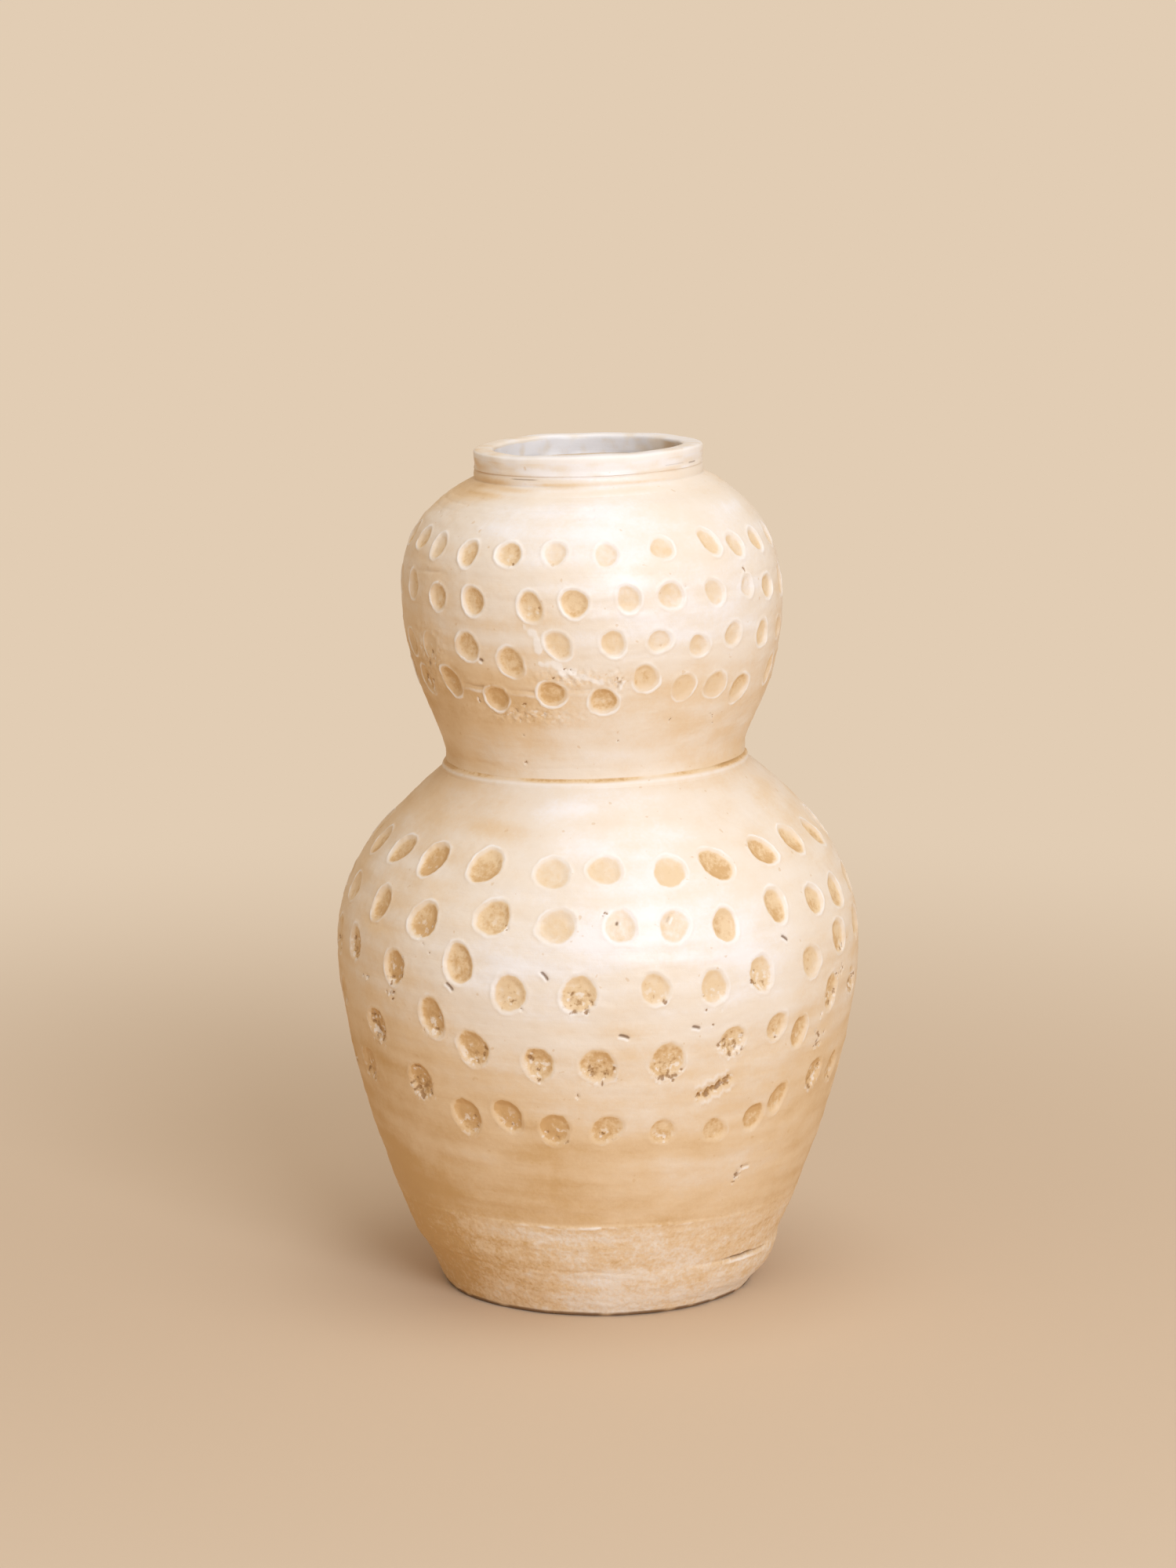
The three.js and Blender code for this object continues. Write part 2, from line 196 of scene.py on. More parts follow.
def settle(x, y, z):
    """Places after settling, as one array. x moves left by LEAN times the 1.5th power of the
    climb above the belly. z is lifted by x times the tilt's tangent, which comes in up to the
    shoulder's top, goes out again over the bulb's foot and comes back up to the collar."""
    climb = np.clip((z - BELLY_WIDEST) / (LIP_HEIGHT - BELLY_WIDEST), 0.0, None)
    tip = smooth_step(TILT_START, SHOULDER_TOP, z) - smooth_step(BULB_FOOT, BULB_FOOT + LEVELLING_RISE, z)
    tip = tip + smooth_step(COLLAR_FOOT - TIPPING_RISE, COLLAR_FOOT, z)
    return np.stack([x - LEAN * climb**1.5, y, z + x * math.tan(TILT) * tip], axis=-1)


def swung(radius, height, turn):
    """A profile swung round the axis: turn is in radians from the front, which is -Y."""
    x = radius * np.sin(turn)
    return x, -radius * np.cos(turn), height + np.zeros_like(x)


# %% [markdown]
# ## Uneven clay and soft marks
#
# Hands leave no surface even. A sum of cosine waves in random directions makes a smooth,
# repeatable unevenness of any size, and because it is worked out in space it closes on itself
# all round the pot. A mark that fades at its edges is a bell curve.

# %% Smooth unevenness
def unevenness(x, y, z, size, seed, waves=22, flat=1.0):
    """Sum of cosine waves of about one size in random directions, scaled to about -1..1.
    flat above 1 packs the waves closer in height, as level brush strokes are."""
    rng = np.random.default_rng(seed)
    total = np.zeros(np.broadcast(x, y, z).shape, dtype=np.float32)
    for _ in range(waves):
        way = rng.normal(size=3)
        way *= 2.0 * math.pi / (size * rng.uniform(0.7, 1.5) * np.linalg.norm(way))
        total += np.cos(way[0] * x + way[1] * y + flat * way[2] * z + rng.uniform(0, 2 * math.pi))
    return total * (1.8 / math.sqrt(2.0 * waves))


# %% Bell curves
def hump(*shares):
    """A bell curve: exp of minus the sum of the squares, so 1 where every share is 0."""
    return np.exp(-sum(share**2 for share in shares))


def turn_from(turn, middle):
    """Turns in radians from a middle, between half a turn back and half a turn on."""
    return (turn - middle + math.pi) % (2 * math.pi) - math.pi


def bell(turn, middle, half_width, z=0.0, height=0.0, half_height=1.0):
    """A bell curve round a place: of the turn, with middle and half width in degrees, and
    where z is given also of the height."""
    off = turn_from(turn, math.radians(middle)) / math.radians(half_width)
    return hump(off, (z - height) / half_height)


def turned_by(across, up, angle):
    """Ways across and up, measured instead along a line at an angle in radians and off it."""
    run = across * math.cos(angle) + up * math.sin(angle)
    return run, up * math.cos(angle) - across * math.sin(angle)


# %% [markdown]
# ## The thumb presses
#
# Each press that shows was looked at by itself: how far round from the front it lies in
# degrees, how far above the middle of its coil, the width and height of its tan floor, how far
# its top leans to the right, its depth, and how torn its floor is. The clay was stiffer near the
# foot, so the lower presses tore. Behind, each course goes on with the same spacing.

# %% Presses of the belly, lowest course first
# Each row: turn, lift, width, height, slant, depth, tear
BELLY_PRESSES = {
    "belly_course_1": [
        (-80, 13, 15, 17, 10, 2.4, 0.5), (-65, 14, 14, 18, 0, 2.6, 0.6), (-44, 14, 15, 18, -28, 2.8, 1.0),
        (-32, -1, 15, 21, -25, 3.0, 0.4), (-21, 2, 15, 18, -32, 3.0, 0.3), (-10, -3, 17, 16, -50, 2.8, 0.35),
        (2, -2, 17, 14, -30, 2.4, 0.3), (15, -4, 14, 13, 0, 1.9, 0.3), (28, -6, 14, 12, 20, 2.0, 0.15),
        (39, -3, 12, 16, 28, 2.6, 0.1), (46, 4, 12, 17, 28, 2.4, 0.1), (60, 11, 13, 17, 25, 2.4, 0.6),
        (71, 9, 14, 17, 20, 2.2, 0.3),
    ],
    "belly_course_2": [
        (-76, 10, 15, 15, 0, 2.2, 0.3), (-57, 2, 14, 18, -25, 2.8, 1.0), (-38, 13, 15, 20, -20, 3.0, 0.45),
        (-28, 0, 17, 18, -30, 2.8, 0.5), (-13, -5, 16, 17, 0, 2.6, 0.6), (0, -5, 17, 18, -15, 2.6, 0.7),
        (15, -3, 17, 19, 0, 2.4, 0.75), (30, 4, 14, 15, 20, 2.2, 1.0), (42, 7, 12, 15, 20, 2.2, 0.2),
        (50, 1, 13, 16, 20, 2.4, 0.1), (62, 16, 13, 18, 15, 2.2, 0.5),
    ],
    "belly_course_3": [
        (-66, 7, 14, 17, -5, 2.6, 0.7), (-49, 2, 14, 18, -12, 3.2, 0.6), (-31, 9, 16, 20, -8, 3.2, 0.1),
        (-19, -3, 18, 18, 0, 2.2, 0.35), (-4, -2, 18, 18, 30, 2.4, 0.65), (12, 0, 15, 15, 0, 1.9, 0.3),
        (25, -1, 15, 16, 0, 1.9, 0.3), (37, 2, 15, 17, -10, 2.2, 0.45), (53, 2, 15, 16, 10, 1.8, 0.1),
        (66, 9, 15, 17, 0, 2.4, 0.2),
    ],
    "belly_course_4": [
        (-76, 3, 15, 15, 20, 2.0, 0.1), (-58, 2, 14, 18, 18, 3.0, 0.1), (-42, -1, 16, 20, 22, 3.0, 0.25),
        (-24, 4, 18, 18, 20, 2.7, 0.15), (-9, 1, 18, 18, 0, 1.7, 0.05), (5, 1, 16.5, 16, 0, 1.5, 0.1),
        (17, 0, 16, 16, 0, 1.6, 0.05), (29, -2, 14, 16, -8, 2.8, 0.0), (44, 3, 14, 17, -20, 2.6, 0.0),
        (58, 1, 14, 15, -25, 2.4, 0.0), (70, 0, 15, 17, -15, 2.4, 0.0),
    ],
    "belly_course_5": [
        (-77, 0, 13, 18, 30, 2.4, 0.0), (-61, 1, 14, 19, 38, 2.6, 0.0), (-46, 0, 15, 20, 36, 3.2, 0.15),
        (-29, 0, 17, 19, 35, 2.7, 0.0), (-11, -2, 18, 16, 60, 1.6, 0.0), (2, -1, 16, 16, 0, 1.7, 0.0),
        (18, -3, 16, 17, -40, 2.0, 0.0), (31, -2, 15, 19, -42, 3.2, 0.0), (47, 0, 13, 18, -40, 3.2, 0.0),
        (61, 1, 13, 18, -38, 2.6, 0.0), (76, -1, 12, 18, -35, 2.4, 0.0),
    ],
}

# %% Presses of the bulb, lowest course first
BULB_PRESSES = {
    "bulb_course_1": [
        (-66, -1.5, 12, 14, -25, 1.8, 0.5), (-50, 1, 12, 15, -28, 2.2, 0.1),
        (-32, -4.5, 12, 13, -8, 2.2, 0.0),
        (-13, -0.5, 13, 13, -30, 2.8, 0.0), (3, -4, 13, 14, 0, 2.6, 0.15), (16, 7, 13, 13, 0, 1.9, 0.0),
        (29, 1.5, 12, 13, 28, 1.5, 0.0), (41, 1, 12, 14, 38, 1.5, 0.0), (53, -3, 12, 16, 42, 1.9, 0.0),
        (73, 2.5, 11, 15, 25, 1.8, 0.0),
    ],
    "bulb_course_2": [
        (-58, -4.5, 12, 11, 0, 1.2, 0.3), (-40, -2, 13, 14, -15, 2.2, 0.1),
        (-25, -8, 13, 15, -22, 2.3, 0.0), (-10, 1.5, 12, 14, -35, 1.8, 0.1), (6, 2.5, 13, 12, 25, 1.8, 0.0),
        (20, 3, 12, 11, 0, 1.6, 0.0), (33, -0.5, 11, 11, 0, 1.5, 0.0), (46, 3, 11, 12, 15, 1.6, 0.0),
        (61, 0.5, 11, 12, 12, 2.0, 0.0),
    ],
    "bulb_course_3": [
        (-68, 0.5, 11, 14, 0, 1.8, 0.1), (-52, -2.5, 12, 12, -8, 2.0, 0.1), (-37, -2, 12, 14, -10, 2.6, 0.1),
        (-18, -3, 12, 15, -35, 2.2, 0.2), (-5, -0.5, 13, 14, 0, 2.7, 0.0), (11, 1.5, 12, 13, 0, 1.6, 0.0),
        (24, 2, 13, 13.5, 15, 1.7, 0.0), (39, 2, 11, 13, -18, 1.4, 0.0), (53, 2.5, 10, 10, 0, 1.2, 0.0),
        (65, 0.5, 11, 12, 0, 2.0, 0.0),
    ],
    "bulb_course_4": [
        (-68, 1.5, 10, 13, 22, 1.8, 0.0), (-56, -0.5, 11, 13, 15, 1.6, 0.0), (-41, -2, 11, 13, 5, 2.2, 0.15),
        (-26, -1, 12, 13, -18, 2.2, 0.2), (-11, 0.5, 12, 12, 0, 1.4, 0.0), (5, 0, 12, 12, -20, 1.5, 0.0),
        (23, 2, 12, 11, -30, 1.6, 0.0), (41, 3, 10, 14, -32, 1.8, 0.0), (52, 0, 10, 13, -25, 1.6, 0.0),
        (65, 0.5, 10, 12, -28, 2.0, 0.0),
    ],
}


# %% The presses behind
TURN_WANDER, TURN_BEAT = 1.5, 2.4
LIFT_WANDER, LIFT_BEAT = 2.0, 1.7


def all_round(front, seed):
    """The front's presses, then as many more as its mean spacing gives, each like one of the
    front's with a little wandering."""
    rng = np.random.default_rng(seed)
    first, last = front[0], front[-1]
    behind = 360.0 - (last[0] - first[0])
    count = round(behind / ((last[0] - first[0]) / (len(front) - 1)))
    rest = []
    for i in range(1, count):
        share = i / count
        like = front[int(rng.integers(2, len(front) - 2))]
        turn = last[0] + behind * share + TURN_WANDER * math.sin(TURN_BEAT * (i - 1))
        lift = last[1] + (first[1] - last[1]) * share + LIFT_WANDER * math.sin(LIFT_BEAT * (i - 1))
        width, height = like[2] + rng.uniform(-1, 1), like[3] + rng.uniform(-1, 1)
        rest.append((turn, lift, width, height, rng.uniform(-35, 35), like[5], like[6]))
    return list(front) + rest


def presses_of(wall, coils, courses, foot_height):
    """Every press of a jar as a row: turn in radians, distance along the wall, then the
    width, height, slant, depth and tear."""
    rows = []
    height = foot_height
    for seed, (name, rise) in enumerate(coils.items()):
        for turn, lift, *look in all_round(courses[name], seed) if name in courses else []:
            rows.append((math.radians(turn), wall.distance_at(height + rise / 2 + lift), *look))
        height += rise
    return rows


belly_presses = presses_of(belly_wall, BELLY_COILS, BELLY_PRESSES, 0.0)
bulb_presses = presses_of(bulb_wall, BULB_COILS, BULB_PRESSES, BULB_FOOT)
print("presses:", len(belly_presses), "on the belly and", len(bulb_presses), "on the bulb")

# %% [markdown]
# ## A grid for each jar
#
# The whole outside of a jar is one grid: columns all round, and rows at even distances along
# the wall, with a row exactly at each joint between two coils. Marks are pressed into that
# grid before it is cut into coils, so that a press across a joint is cut cleanly in two.
#
# Every mark works on a small window of rows and columns. It lowers or raises the clay, and it
# paints attributes that the materials read: tan is where the wash is rubbed off a press's
# floor, with painted shade on one side, rim is the clay squeezed up round it and other pale
# places, some of them painted highlights, tear is broken ground, sand is rough ground and
# line is a crack or a dark line, some of them painted shade.

# %% The grid of a jar
PAINTS = ("tan", "rim", "tear", "sand", "line")


class Skin:
    """A jar's outside on a grid of rows along the wall and columns all round."""

    def __init__(self, wall, heights, columns, step):
        self.wall = wall
        stops = [wall.distance_at(height) for height in heights]
        counts = [max(3, round((high - low) / step)) for low, high in zip(stops, stops[1:])]
        parts = [np.linspace(*ends, n + 1)[:-1] for ends, n in zip(zip(stops, stops[1:]), counts)]
        self.along = np.concatenate(parts + [[stops[-1]]])
        self.joints = np.concatenate([[0], np.cumsum(counts)])
        self.turn = np.arange(columns) * 2.0 * math.pi / columns
        self.profile = wall.at(self.along)
        self.relief = np.zeros((len(self.along), columns), dtype=np.float32)
        self.paint = {name: np.zeros_like(self.relief) for name in PAINTS}
        self.untouched = np.ones_like(self.relief)

    def lay(self, name, where, values):
        """Lays a paint on some points, where it is stronger than what is there."""
        self.paint[name][where] = np.maximum(self.paint[name][where], values)

    def at(self, along):
        """Radius, height and outward direction at one distance along the wall."""
        return [float(np.interp(along, self.along, values)) for values in self.profile]

    def window(self, turn, along, reach):
        """Rows and columns within reach of a place, with each point's way across and up
        from it in millimetres."""
        radius = self.at(along)[0]
        off = turn_from(self.turn, turn)
        rows = np.flatnonzero(np.abs(self.along - along) < reach)
        columns = np.flatnonzero(np.abs(off) * radius < reach)
        across, up = np.meshgrid(off[columns] * radius, self.along[rows] - along)
        return np.ix_(rows, columns), across, up

    def stroke(self, start, end):
        """A window round a stroke between two places, each a turn and a height, with each
        point's way along the stroke and off it, and the stroke's length."""
        turn, height = ((first + last) / 2 for first, last in zip(start, end))
        along = self.wall.distance_at(height)
        run_across = self.at(along)[0] * math.radians(end[0] - start[0])
        run_up = self.wall.distance_at(end[1]) - self.wall.distance_at(start[1])
        length = math.hypot(run_across, run_up)
        where, across, up = self.window(math.radians(turn), along, length)
        run, off = turned_by(across, up, math.atan2(run_up, run_across))
        return where, run, off, length

    def points(self, where=...):
        """The bare outside before any relief, for working out unevenness in space."""
        radius, height = (values[:, None] for values in self.profile[:2])
        return [part[where] for part in swung(radius, height, self.turn)]

    def moved_out(self, rows):
        """Radius and height of some rows all round, moved out by the relief."""
        radius, height, out_radius, out_height = (values[rows, None] for values in self.profile)
        return radius + out_radius * self.relief[rows], height + out_height * self.relief[rows]


# %% [markdown]
# ## Pressing a thumb in
#
# A thumb leaves a flat-floored bowl with a sloped side and squeezes a thin rim up round it. The
# rim stands highest and is painted palest on the far side, away from the front: partly a painted
# highlight where that side catches the light. The outline is an ellipse, bent a little out of
# true by waves round its edge. The brush slid over the bowl: its floor stayed tan, fading out
# at the edge, while the side and rim are pale. The tan is moved off the middle towards the
# front, which is painted shade on the side of the floor away from the light.

# %% One press
BOWL_SHARE = 0.62
SIDE_TOP = 1.11
SIDE_FOOT = 0.55
RIM_OUT = 0.95
RIM_WIDTH = 0.75
RIM_FADE = (105.0, 195.0)
# The tan's shift and lift move painted shade onto the side of the floor away from the light
TAN_SHADE_SHIFT = 0.16
TAN_SHADE_LIFT = 0.2
TAN_EDGE = 1.08


def press_thumb(skin, bowls, rims, ragged, row, rng):
    """Works out an ellipse's distance share (0 in the middle, 1 at the edge of the tan),
    sinks the clay inside it, raises a thin rim round it by a bell curve just outside, and
    paints the floor tan with a strength that grows with the depth and away from the rim's
    far side. The rim's pale far side is partly a painted highlight, and the tan's shift and
    its fading towards the far side are painted shade. ragged bends the outline a little everywhere."""
    turn, along, width, height, slant, depth, tear = row
    where, across, up = skin.window(turn, along, height)
    side, length = turned_by(across, up, -math.radians(slant))
    side, length = side / (width / 2), length / (height / 2)
    angle = np.arctan2(length, side)
    wave = rng.uniform(0, 2 * math.pi, 4)
    bend = 1 + 0.05 * np.sin(2 * angle + wave[0]) + 0.035 * np.sin(3 * angle + wave[1])
    bend += (0.004 + 0.012 * tear) * (np.sin(7 * angle + wave[2]) + np.sin(12 * angle + wave[3]))
    bend += ragged[where]
    share = np.hypot(side, length) * bend
    bowl = BOWL_SHARE * depth * (0.85 + 0.15 * (1 - share**2)) * smooth_step(SIDE_TOP, SIDE_FOOT, share)
    bowls[where] = np.maximum(bowls[where], bowl)

    # The rim is strongest away from the front and, on the shoulder, towards the top; in its pale paint this
    # is partly a painted highlight
    _, skin_height, _, facing_up = skin.at(along)
    far_across, far_up = 1.2 * math.sin(turn), 0.9 * facing_up - 0.15
    apart = np.maximum(np.hypot(across, up) * math.hypot(far_across, far_up), 0.01)
    far_side = (across * far_across + up * far_up) / apart
    outside = (share - 1) * (width + height) / 4
    rim = hump((outside - RIM_OUT) / RIM_WIDTH) * (0.66 + 0.34 * far_side)
    rim *= min(1.0, depth / 2.0) * (1 - 0.3 * tear) * float(np.interp(skin_height, RIM_FADE, (0.35, 1.0)))
    rims[where] = np.maximum(rims[where], rim)

    # The tan is moved towards the front, towards the top where the wall faces down, and away from the far
    # side: painted shade on the side of the floor away from the light
    lifted = length - TAN_SHADE_LIFT * max(0.0, -facing_up)
    shifted = np.hypot(side + TAN_SHADE_SHIFT * math.sin(turn), lifted) * bend
    floor = smooth_step(TAN_EDGE, 0.8, shifted) * smooth_step(TAN_EDGE, 0.92, share)
    shade_grade = np.clip(1 - 0.4 * (side * far_across + length * far_up), 0.55, 1.25)
    deepened = 0.3 + 0.7 * min(1.0, max(0.0, (depth - 1.2) / 2.0))
    skin.lay("tan", where, deepened * shade_grade * floor)


# %% [markdown]
# ## Torn ground
#
# Where the clay was stiff the thumb dragged it: ragged pits open along the lower edge of the
# press, with pale crumbs of clay pushed up beside them. Big pits are modelled; the fine ones
# come from the material, which reads the tear paint.

# %% Pits and crumbs
def pit(skin, turn, along, size, depth, rng):
    """A ragged pit: the clay sinks by the highest of three bell curves a little apart, and
    a crumb stands up beside it."""
    where, across, up = skin.window(turn, along, 4.0 * size)
    hole = np.zeros_like(across)
    for _ in range(3):
        push_across, push_up = rng.normal(0, 0.55 * size, 2)
        spread = size * rng.uniform(0.55, 0.95)
        hole = np.maximum(hole, hump((across - push_across) / spread, (up - push_up) / spread))
    crumb_across, crumb_up = rng.normal((-0.6 * size, -1.5 * size), 0.4 * size)
    spread = 0.75 * size
    crumb = hump((across - crumb_across) / spread, (up - crumb_up) / spread) * (1 - hole)
    skin.relief[where] += depth * (0.45 * crumb - hole)
    skin.lay("tear", where, hole)
    skin.lay("rim", where, 0.75 * crumb)


def tear_press(skin, row, rng):
    """Scatters pits between half and the whole of a press's size, most of them along its
    lower edge, as many as its tear asks for, and breaks the ground between them."""
    turn, along, width, height, slant, depth, tear = row
    radius = skin.at(along)[0]
    for _ in range(max(0, round(9 * tear - 1.2))):
        angle = rng.normal(-math.pi / 2, 0.8 + 0.5 * tear)
        share = rng.uniform(0.45, 1.05)
        across = share * width / 2 * math.cos(angle)
        up = share * height / 2 * math.sin(angle)
        size = rng.uniform(0.7, 1.1) + 0.7 * tear * rng.uniform(0, 1)
        pit(skin, turn + across / radius, along + up, size, rng.uniform(0.3, 0.7), rng)
    where, across, up = skin.window(turn, along, height)
    low = hump(across / (0.6 * width), (up + 0.2 * height) / (0.45 * height))
    skin.lay("tear", where, (0.15 + 0.45 * tear) * low)


def scatter(skin, places, depth, rng):
    """Pits scattered round places. Each row of places: turn, height, spread in
    millimetres, how many pits, and their size."""
    for turn, height, spread, count, size in places:
        radius = skin.at(skin.wall.distance_at(height))[0]
        for _ in range(count):
            across, up = rng.normal(0, spread / 2, 2)
            place = skin.wall.distance_at(height + up)
            pit(skin, math.radians(turn) + across / radius, place, size * rng.uniform(0.7, 1.2), depth, rng)


# %% [markdown]
# ## Nicks, cracks and a gouge
#
# A nick is a short cut, such as a finger nail or a bit of grit leaves. A crack follows a joint
# that didn't close: a chain of places all along it, each a little off the line.

# %% Nicks, cracks and a gouge
NICK_WIDTH = 0.85
CRACK_LIP_REACH = 7.0


def nick(skin, turn, height, length, slant, depth=0.6, darkness=1.0):
    """A short cut: the clay sinks by a bell curve across it, for its length, and a burr
    stands up along its lower side."""
    where, across, up = skin.window(math.radians(turn), skin.wall.distance_at(height), length)
    run, off = turned_by(across, up, math.radians(slant))
    off = off + 0.05 * run**2
    ends = smooth_step(length / 2 + 0.8, length / 2 - 1.2, np.abs(run))
    cut = ends * hump(off / NICK_WIDTH)
    burr = ends * hump(off / NICK_WIDTH + 1.8)
    skin.relief[where] += 0.25 * burr - depth * cut
    skin.lay("line", where, darkness * cut)
    skin.lay("rim", where, 0.8 * burr)


def crack(skin, turns, heights, depth, width, wander, darkness, seed, lip=0.0, ridge=0.0, opening=0.06):
    """A crack between two turns, broken where a press crosses it. Its height goes from the
    first to the second and wanders by a sum of sines, and its depth fades at both ends, in
    opening radians at the first. lip raises the clay above it, and ridge leaves a thin pale
    burr just below, whose pale paint is partly a painted highlight where it catches the light."""
    rng = np.random.default_rng(seed)
    low, high = np.radians(turns)
    turn = turn_from(skin.turn, low) + low
    phase = rng.uniform(0, 2 * math.pi, 3)
    waves = np.sin(9 * turn + phase[0]) + 0.6 * np.sin(23 * turn + phase[1])
    middle = skin.wall.distance_at(np.interp(turn, (low, high), heights))
    middle = middle + wander * (waves + 0.4 * np.sin(51 * turn + phase[2]))
    ends = smooth_step(low - 0.03, low + opening, turn) * smooth_step(high + 0.03, high - 0.06, turn)
    strength = ends * (0.75 + 0.25 * np.sin(17 * turn + phase[1])) * skin.untouched
    off = skin.along[:, None] - middle
    cut = strength * hump(off / width)
    over = strength * np.exp(-np.clip(off, 0, None) / CRACK_LIP_REACH) * smooth_step(-0.4, 0.4, off)
    burr = strength * hump(off / width + 2.2)
    skin.relief += lip * over + ridge * burr - depth * cut
    skin.lay("line", ..., darkness * cut)
    # The burr's pale paint is partly a painted highlight
    skin.lay("rim", ..., min(1.0, 2.0 * ridge) * burr)


def gouge(skin, start, end, width, depth, rng):
    """A dragged place between two places, each a turn and a height: a ragged furrow with
    torn ground in it and a pale rim on both sides."""
    where, run, off, length = skin.stroke(start, end)
    off = off + 0.3 * width * np.sin(1.1 * run + 1.0) + 0.2 * width * np.sin(2.9 * run)
    ends = smooth_step(length / 2 + 1.0, length / 2 - 3.0, np.abs(run))
    furrow = ends * hump(off / width)
    halo = ends * hump((np.abs(off) / width - 2.1) / 0.7)
    skin.relief[where] += 0.3 * halo - depth * furrow
    skin.lay("tear", where, 0.7 * furrow)
    skin.lay("tan", where, furrow)
    skin.lay("rim", where, 0.5 * halo)
    for _ in range(round(length / 1.6)):
        share = rng.uniform(0.08, 0.92)
        turn, height = (first + (last - first) * share for first, last in zip(start, end))
        place = skin.wall.distance_at(height) + rng.normal(0, 0.5 * width)
        pit(skin, math.radians(turn), place, rng.uniform(0.6, 1.1), 0.6 * depth, rng)


# %% [markdown]
# ## Pressing all the marks
#
# The whole jar gets its slow unevenness first, then the level rings of the smoothing hand,
# and then every press, pit, nick and crack.

# %% Work a jar over
def work_over(skin, presses, rim_height, rim_paint, seed):
    """Adds the slow and the fine unevenness, then all the presses with their pits."""
    x, y, z = skin.points()
    rings = unevenness(x, y, z, 90.0, seed + 1, flat=14.0)
    skin.relief += 0.5 * unevenness(x, y, z, 150.0, seed) + 0.07 * rings
    skin.relief += 0.14 * unevenness(x, y, z, 26.0, seed + 2)
    skin.relief += 0.035 * unevenness(x, y, z, 7.0, seed + 3, flat=2.0)
    bowls = np.zeros_like(skin.relief)
    rims = np.zeros_like(skin.relief)
    ragged = 0.016 * unevenness(x, y, z, 4.5, seed + 5)
    rng = np.random.default_rng(seed + 4)
    for row in presses:
        press_thumb(skin, bowls, rims, ragged, row, rng)
    rims *= smooth_step(0.6, 0.0, bowls) * np.clip(0.85 + 0.3 * unevenness(x, y, z, 9.0, seed + 6), 0.4, 1.1)
    skin.untouched = smooth_step(0.4, 0.0, bowls + rims)
    skin.relief += rim_height * rims - bowls
    skin.lay("rim", ..., rim_paint * rims)
    for row in presses:
        if row[-1] > 0:
            tear_press(skin, row, rng)


def joint_heights(coils, foot_height):
    """The heights of the joints between coils, from the foot up."""
    return np.concatenate([[foot_height], foot_height + np.cumsum(list(coils.values()))])


belly_skin = Skin(belly_wall, joint_heights(BELLY_COILS, 0.0), columns=1180, step=0.7)
bulb_skin = Skin(bulb_wall, joint_heights(BULB_COILS, BULB_FOOT), columns=1000, step=0.6)
# rim_paint sets how pale the rims are painted, partly as a painted highlight
work_over(belly_skin, belly_presses, rim_height=0.45, rim_paint=1.0, seed=10)
work_over(bulb_skin, bulb_presses, rim_height=0.6, rim_paint=1.25, seed=40)
print("grids:", belly_skin.relief.shape, bulb_skin.relief.shape)

# %% [markdown]
# ## The belly's own marks
#
# Grit left nicks here and there, one place was dragged into a gouge, and the coil at the foot
# was left rough, with a ledge along its top. At the right the slab's turned-up rim never
# closed on the coil above it, and a crack stands open there.

# %% The rough foot
LEDGE_HEIGHT = 52.0
LEDGE_STEP = 0.6
BULGE_HEIGHTS = [0, 5, 11, 17, 23.5, 27]
BULGE = [0.0, 0.5, 2.5, 3.0, 1.9, 0.0]


def roughen_foot(skin):
    """Steps the clay out below the ledge, whose height wanders a little, with a pale edge
    that shows in front, partly a painted highlight where the ledge catches the light, lets the
    slab's rim bulge at the right, where it never closed on the coil above, and draws it in at
    the left."""
    x, y, z = skin.points()
    turn = skin.turn
    off = z - LEDGE_HEIGHT - 0.9 * np.sin(2 * turn + 1.0) - 0.5 * np.sin(7 * turn)
    below = smooth_step(0.8, -0.8, off)
    shown = np.clip(bell(turn, 0, 32) + 0.2 * unevenness(x, y, z, 40.0, 71), 0.12, 1.0)
    broken = np.clip(0.75 + 0.5 * unevenness(x, y, z, 9.0, 74, flat=2.0), 0.2, 1.0)
    # The ledge's pale edge, strongest in front, is partly a painted highlight
    edge = hump((off + 0.9) / 0.9) * shown * broken
    skin.relief += LEDGE_STEP * below * smooth_step(4.0, 30.0, z) * (0.3 + 0.7 * shown) + 0.25 * edge
    skin.relief += np.interp(z, BULGE_HEIGHTS, BULGE) * (bell(turn, 75, 42) - 0.4 * bell(turn, -75, 45))
    rough = unevenness(x, y, z, 6.0, 72, flat=1.6) * 0.06 + unevenness(x, y, z, 2.8, 73) * 0.035
    skin.relief += below * rough
    skin.lay("rim", ..., 0.8 * edge)
    soft = smooth_step(10.0, -16.0, off)
    skin.lay("sand", ..., soft + (below - soft) * shown)


roughen_foot(belly_skin)
crack(
    belly_skin, (29, 67), (26.4, 25.0), depth=1.9, width=0.8, wander=0.2, darkness=1.0, seed=5,
    lip=0.5, ridge=0.4, opening=0.35,
)
crack(belly_skin, (-170, 28), (25.0, 26.0), depth=0.3, width=0.9, wander=0.35, darkness=0.15, seed=6)

# %% Nicks, gouge and loose grit on the belly
# Each row: turn, height, length, slant
DEEP_NICKS = [
    (-32.8, 173.7, 6.0, -42), (-11.2, 182.6, 6.0, -48), (5.5, 153.7, 6.0, -18), (21.0, 156.4, 5.0, -16),
    (44.5, 192.2, 5.5, -35), (4.2, 206.7, 2.5, 80), (130.0, 165.0, 6.0, 20), (-150.0, 120.0, 5.0, -30),
    (171.0, 196.0, 6.0, 35),
]
FAINT_NICKS = [(15.7, 207.4, 4.5, 58), (40.2, 78.9, 5.0, 4), (37.5, 76.0, 3.0, 50)]
for row in DEEP_NICKS:
    nick(belly_skin, *row)
for row in FAINT_NICKS:
    nick(belly_skin, *row, depth=0.5, darkness=0.5)

rng = np.random.default_rng(21)
gouge(belly_skin, (21.8, 120.0), (31.3, 129.0), width=2.3, depth=0.9, rng=rng)

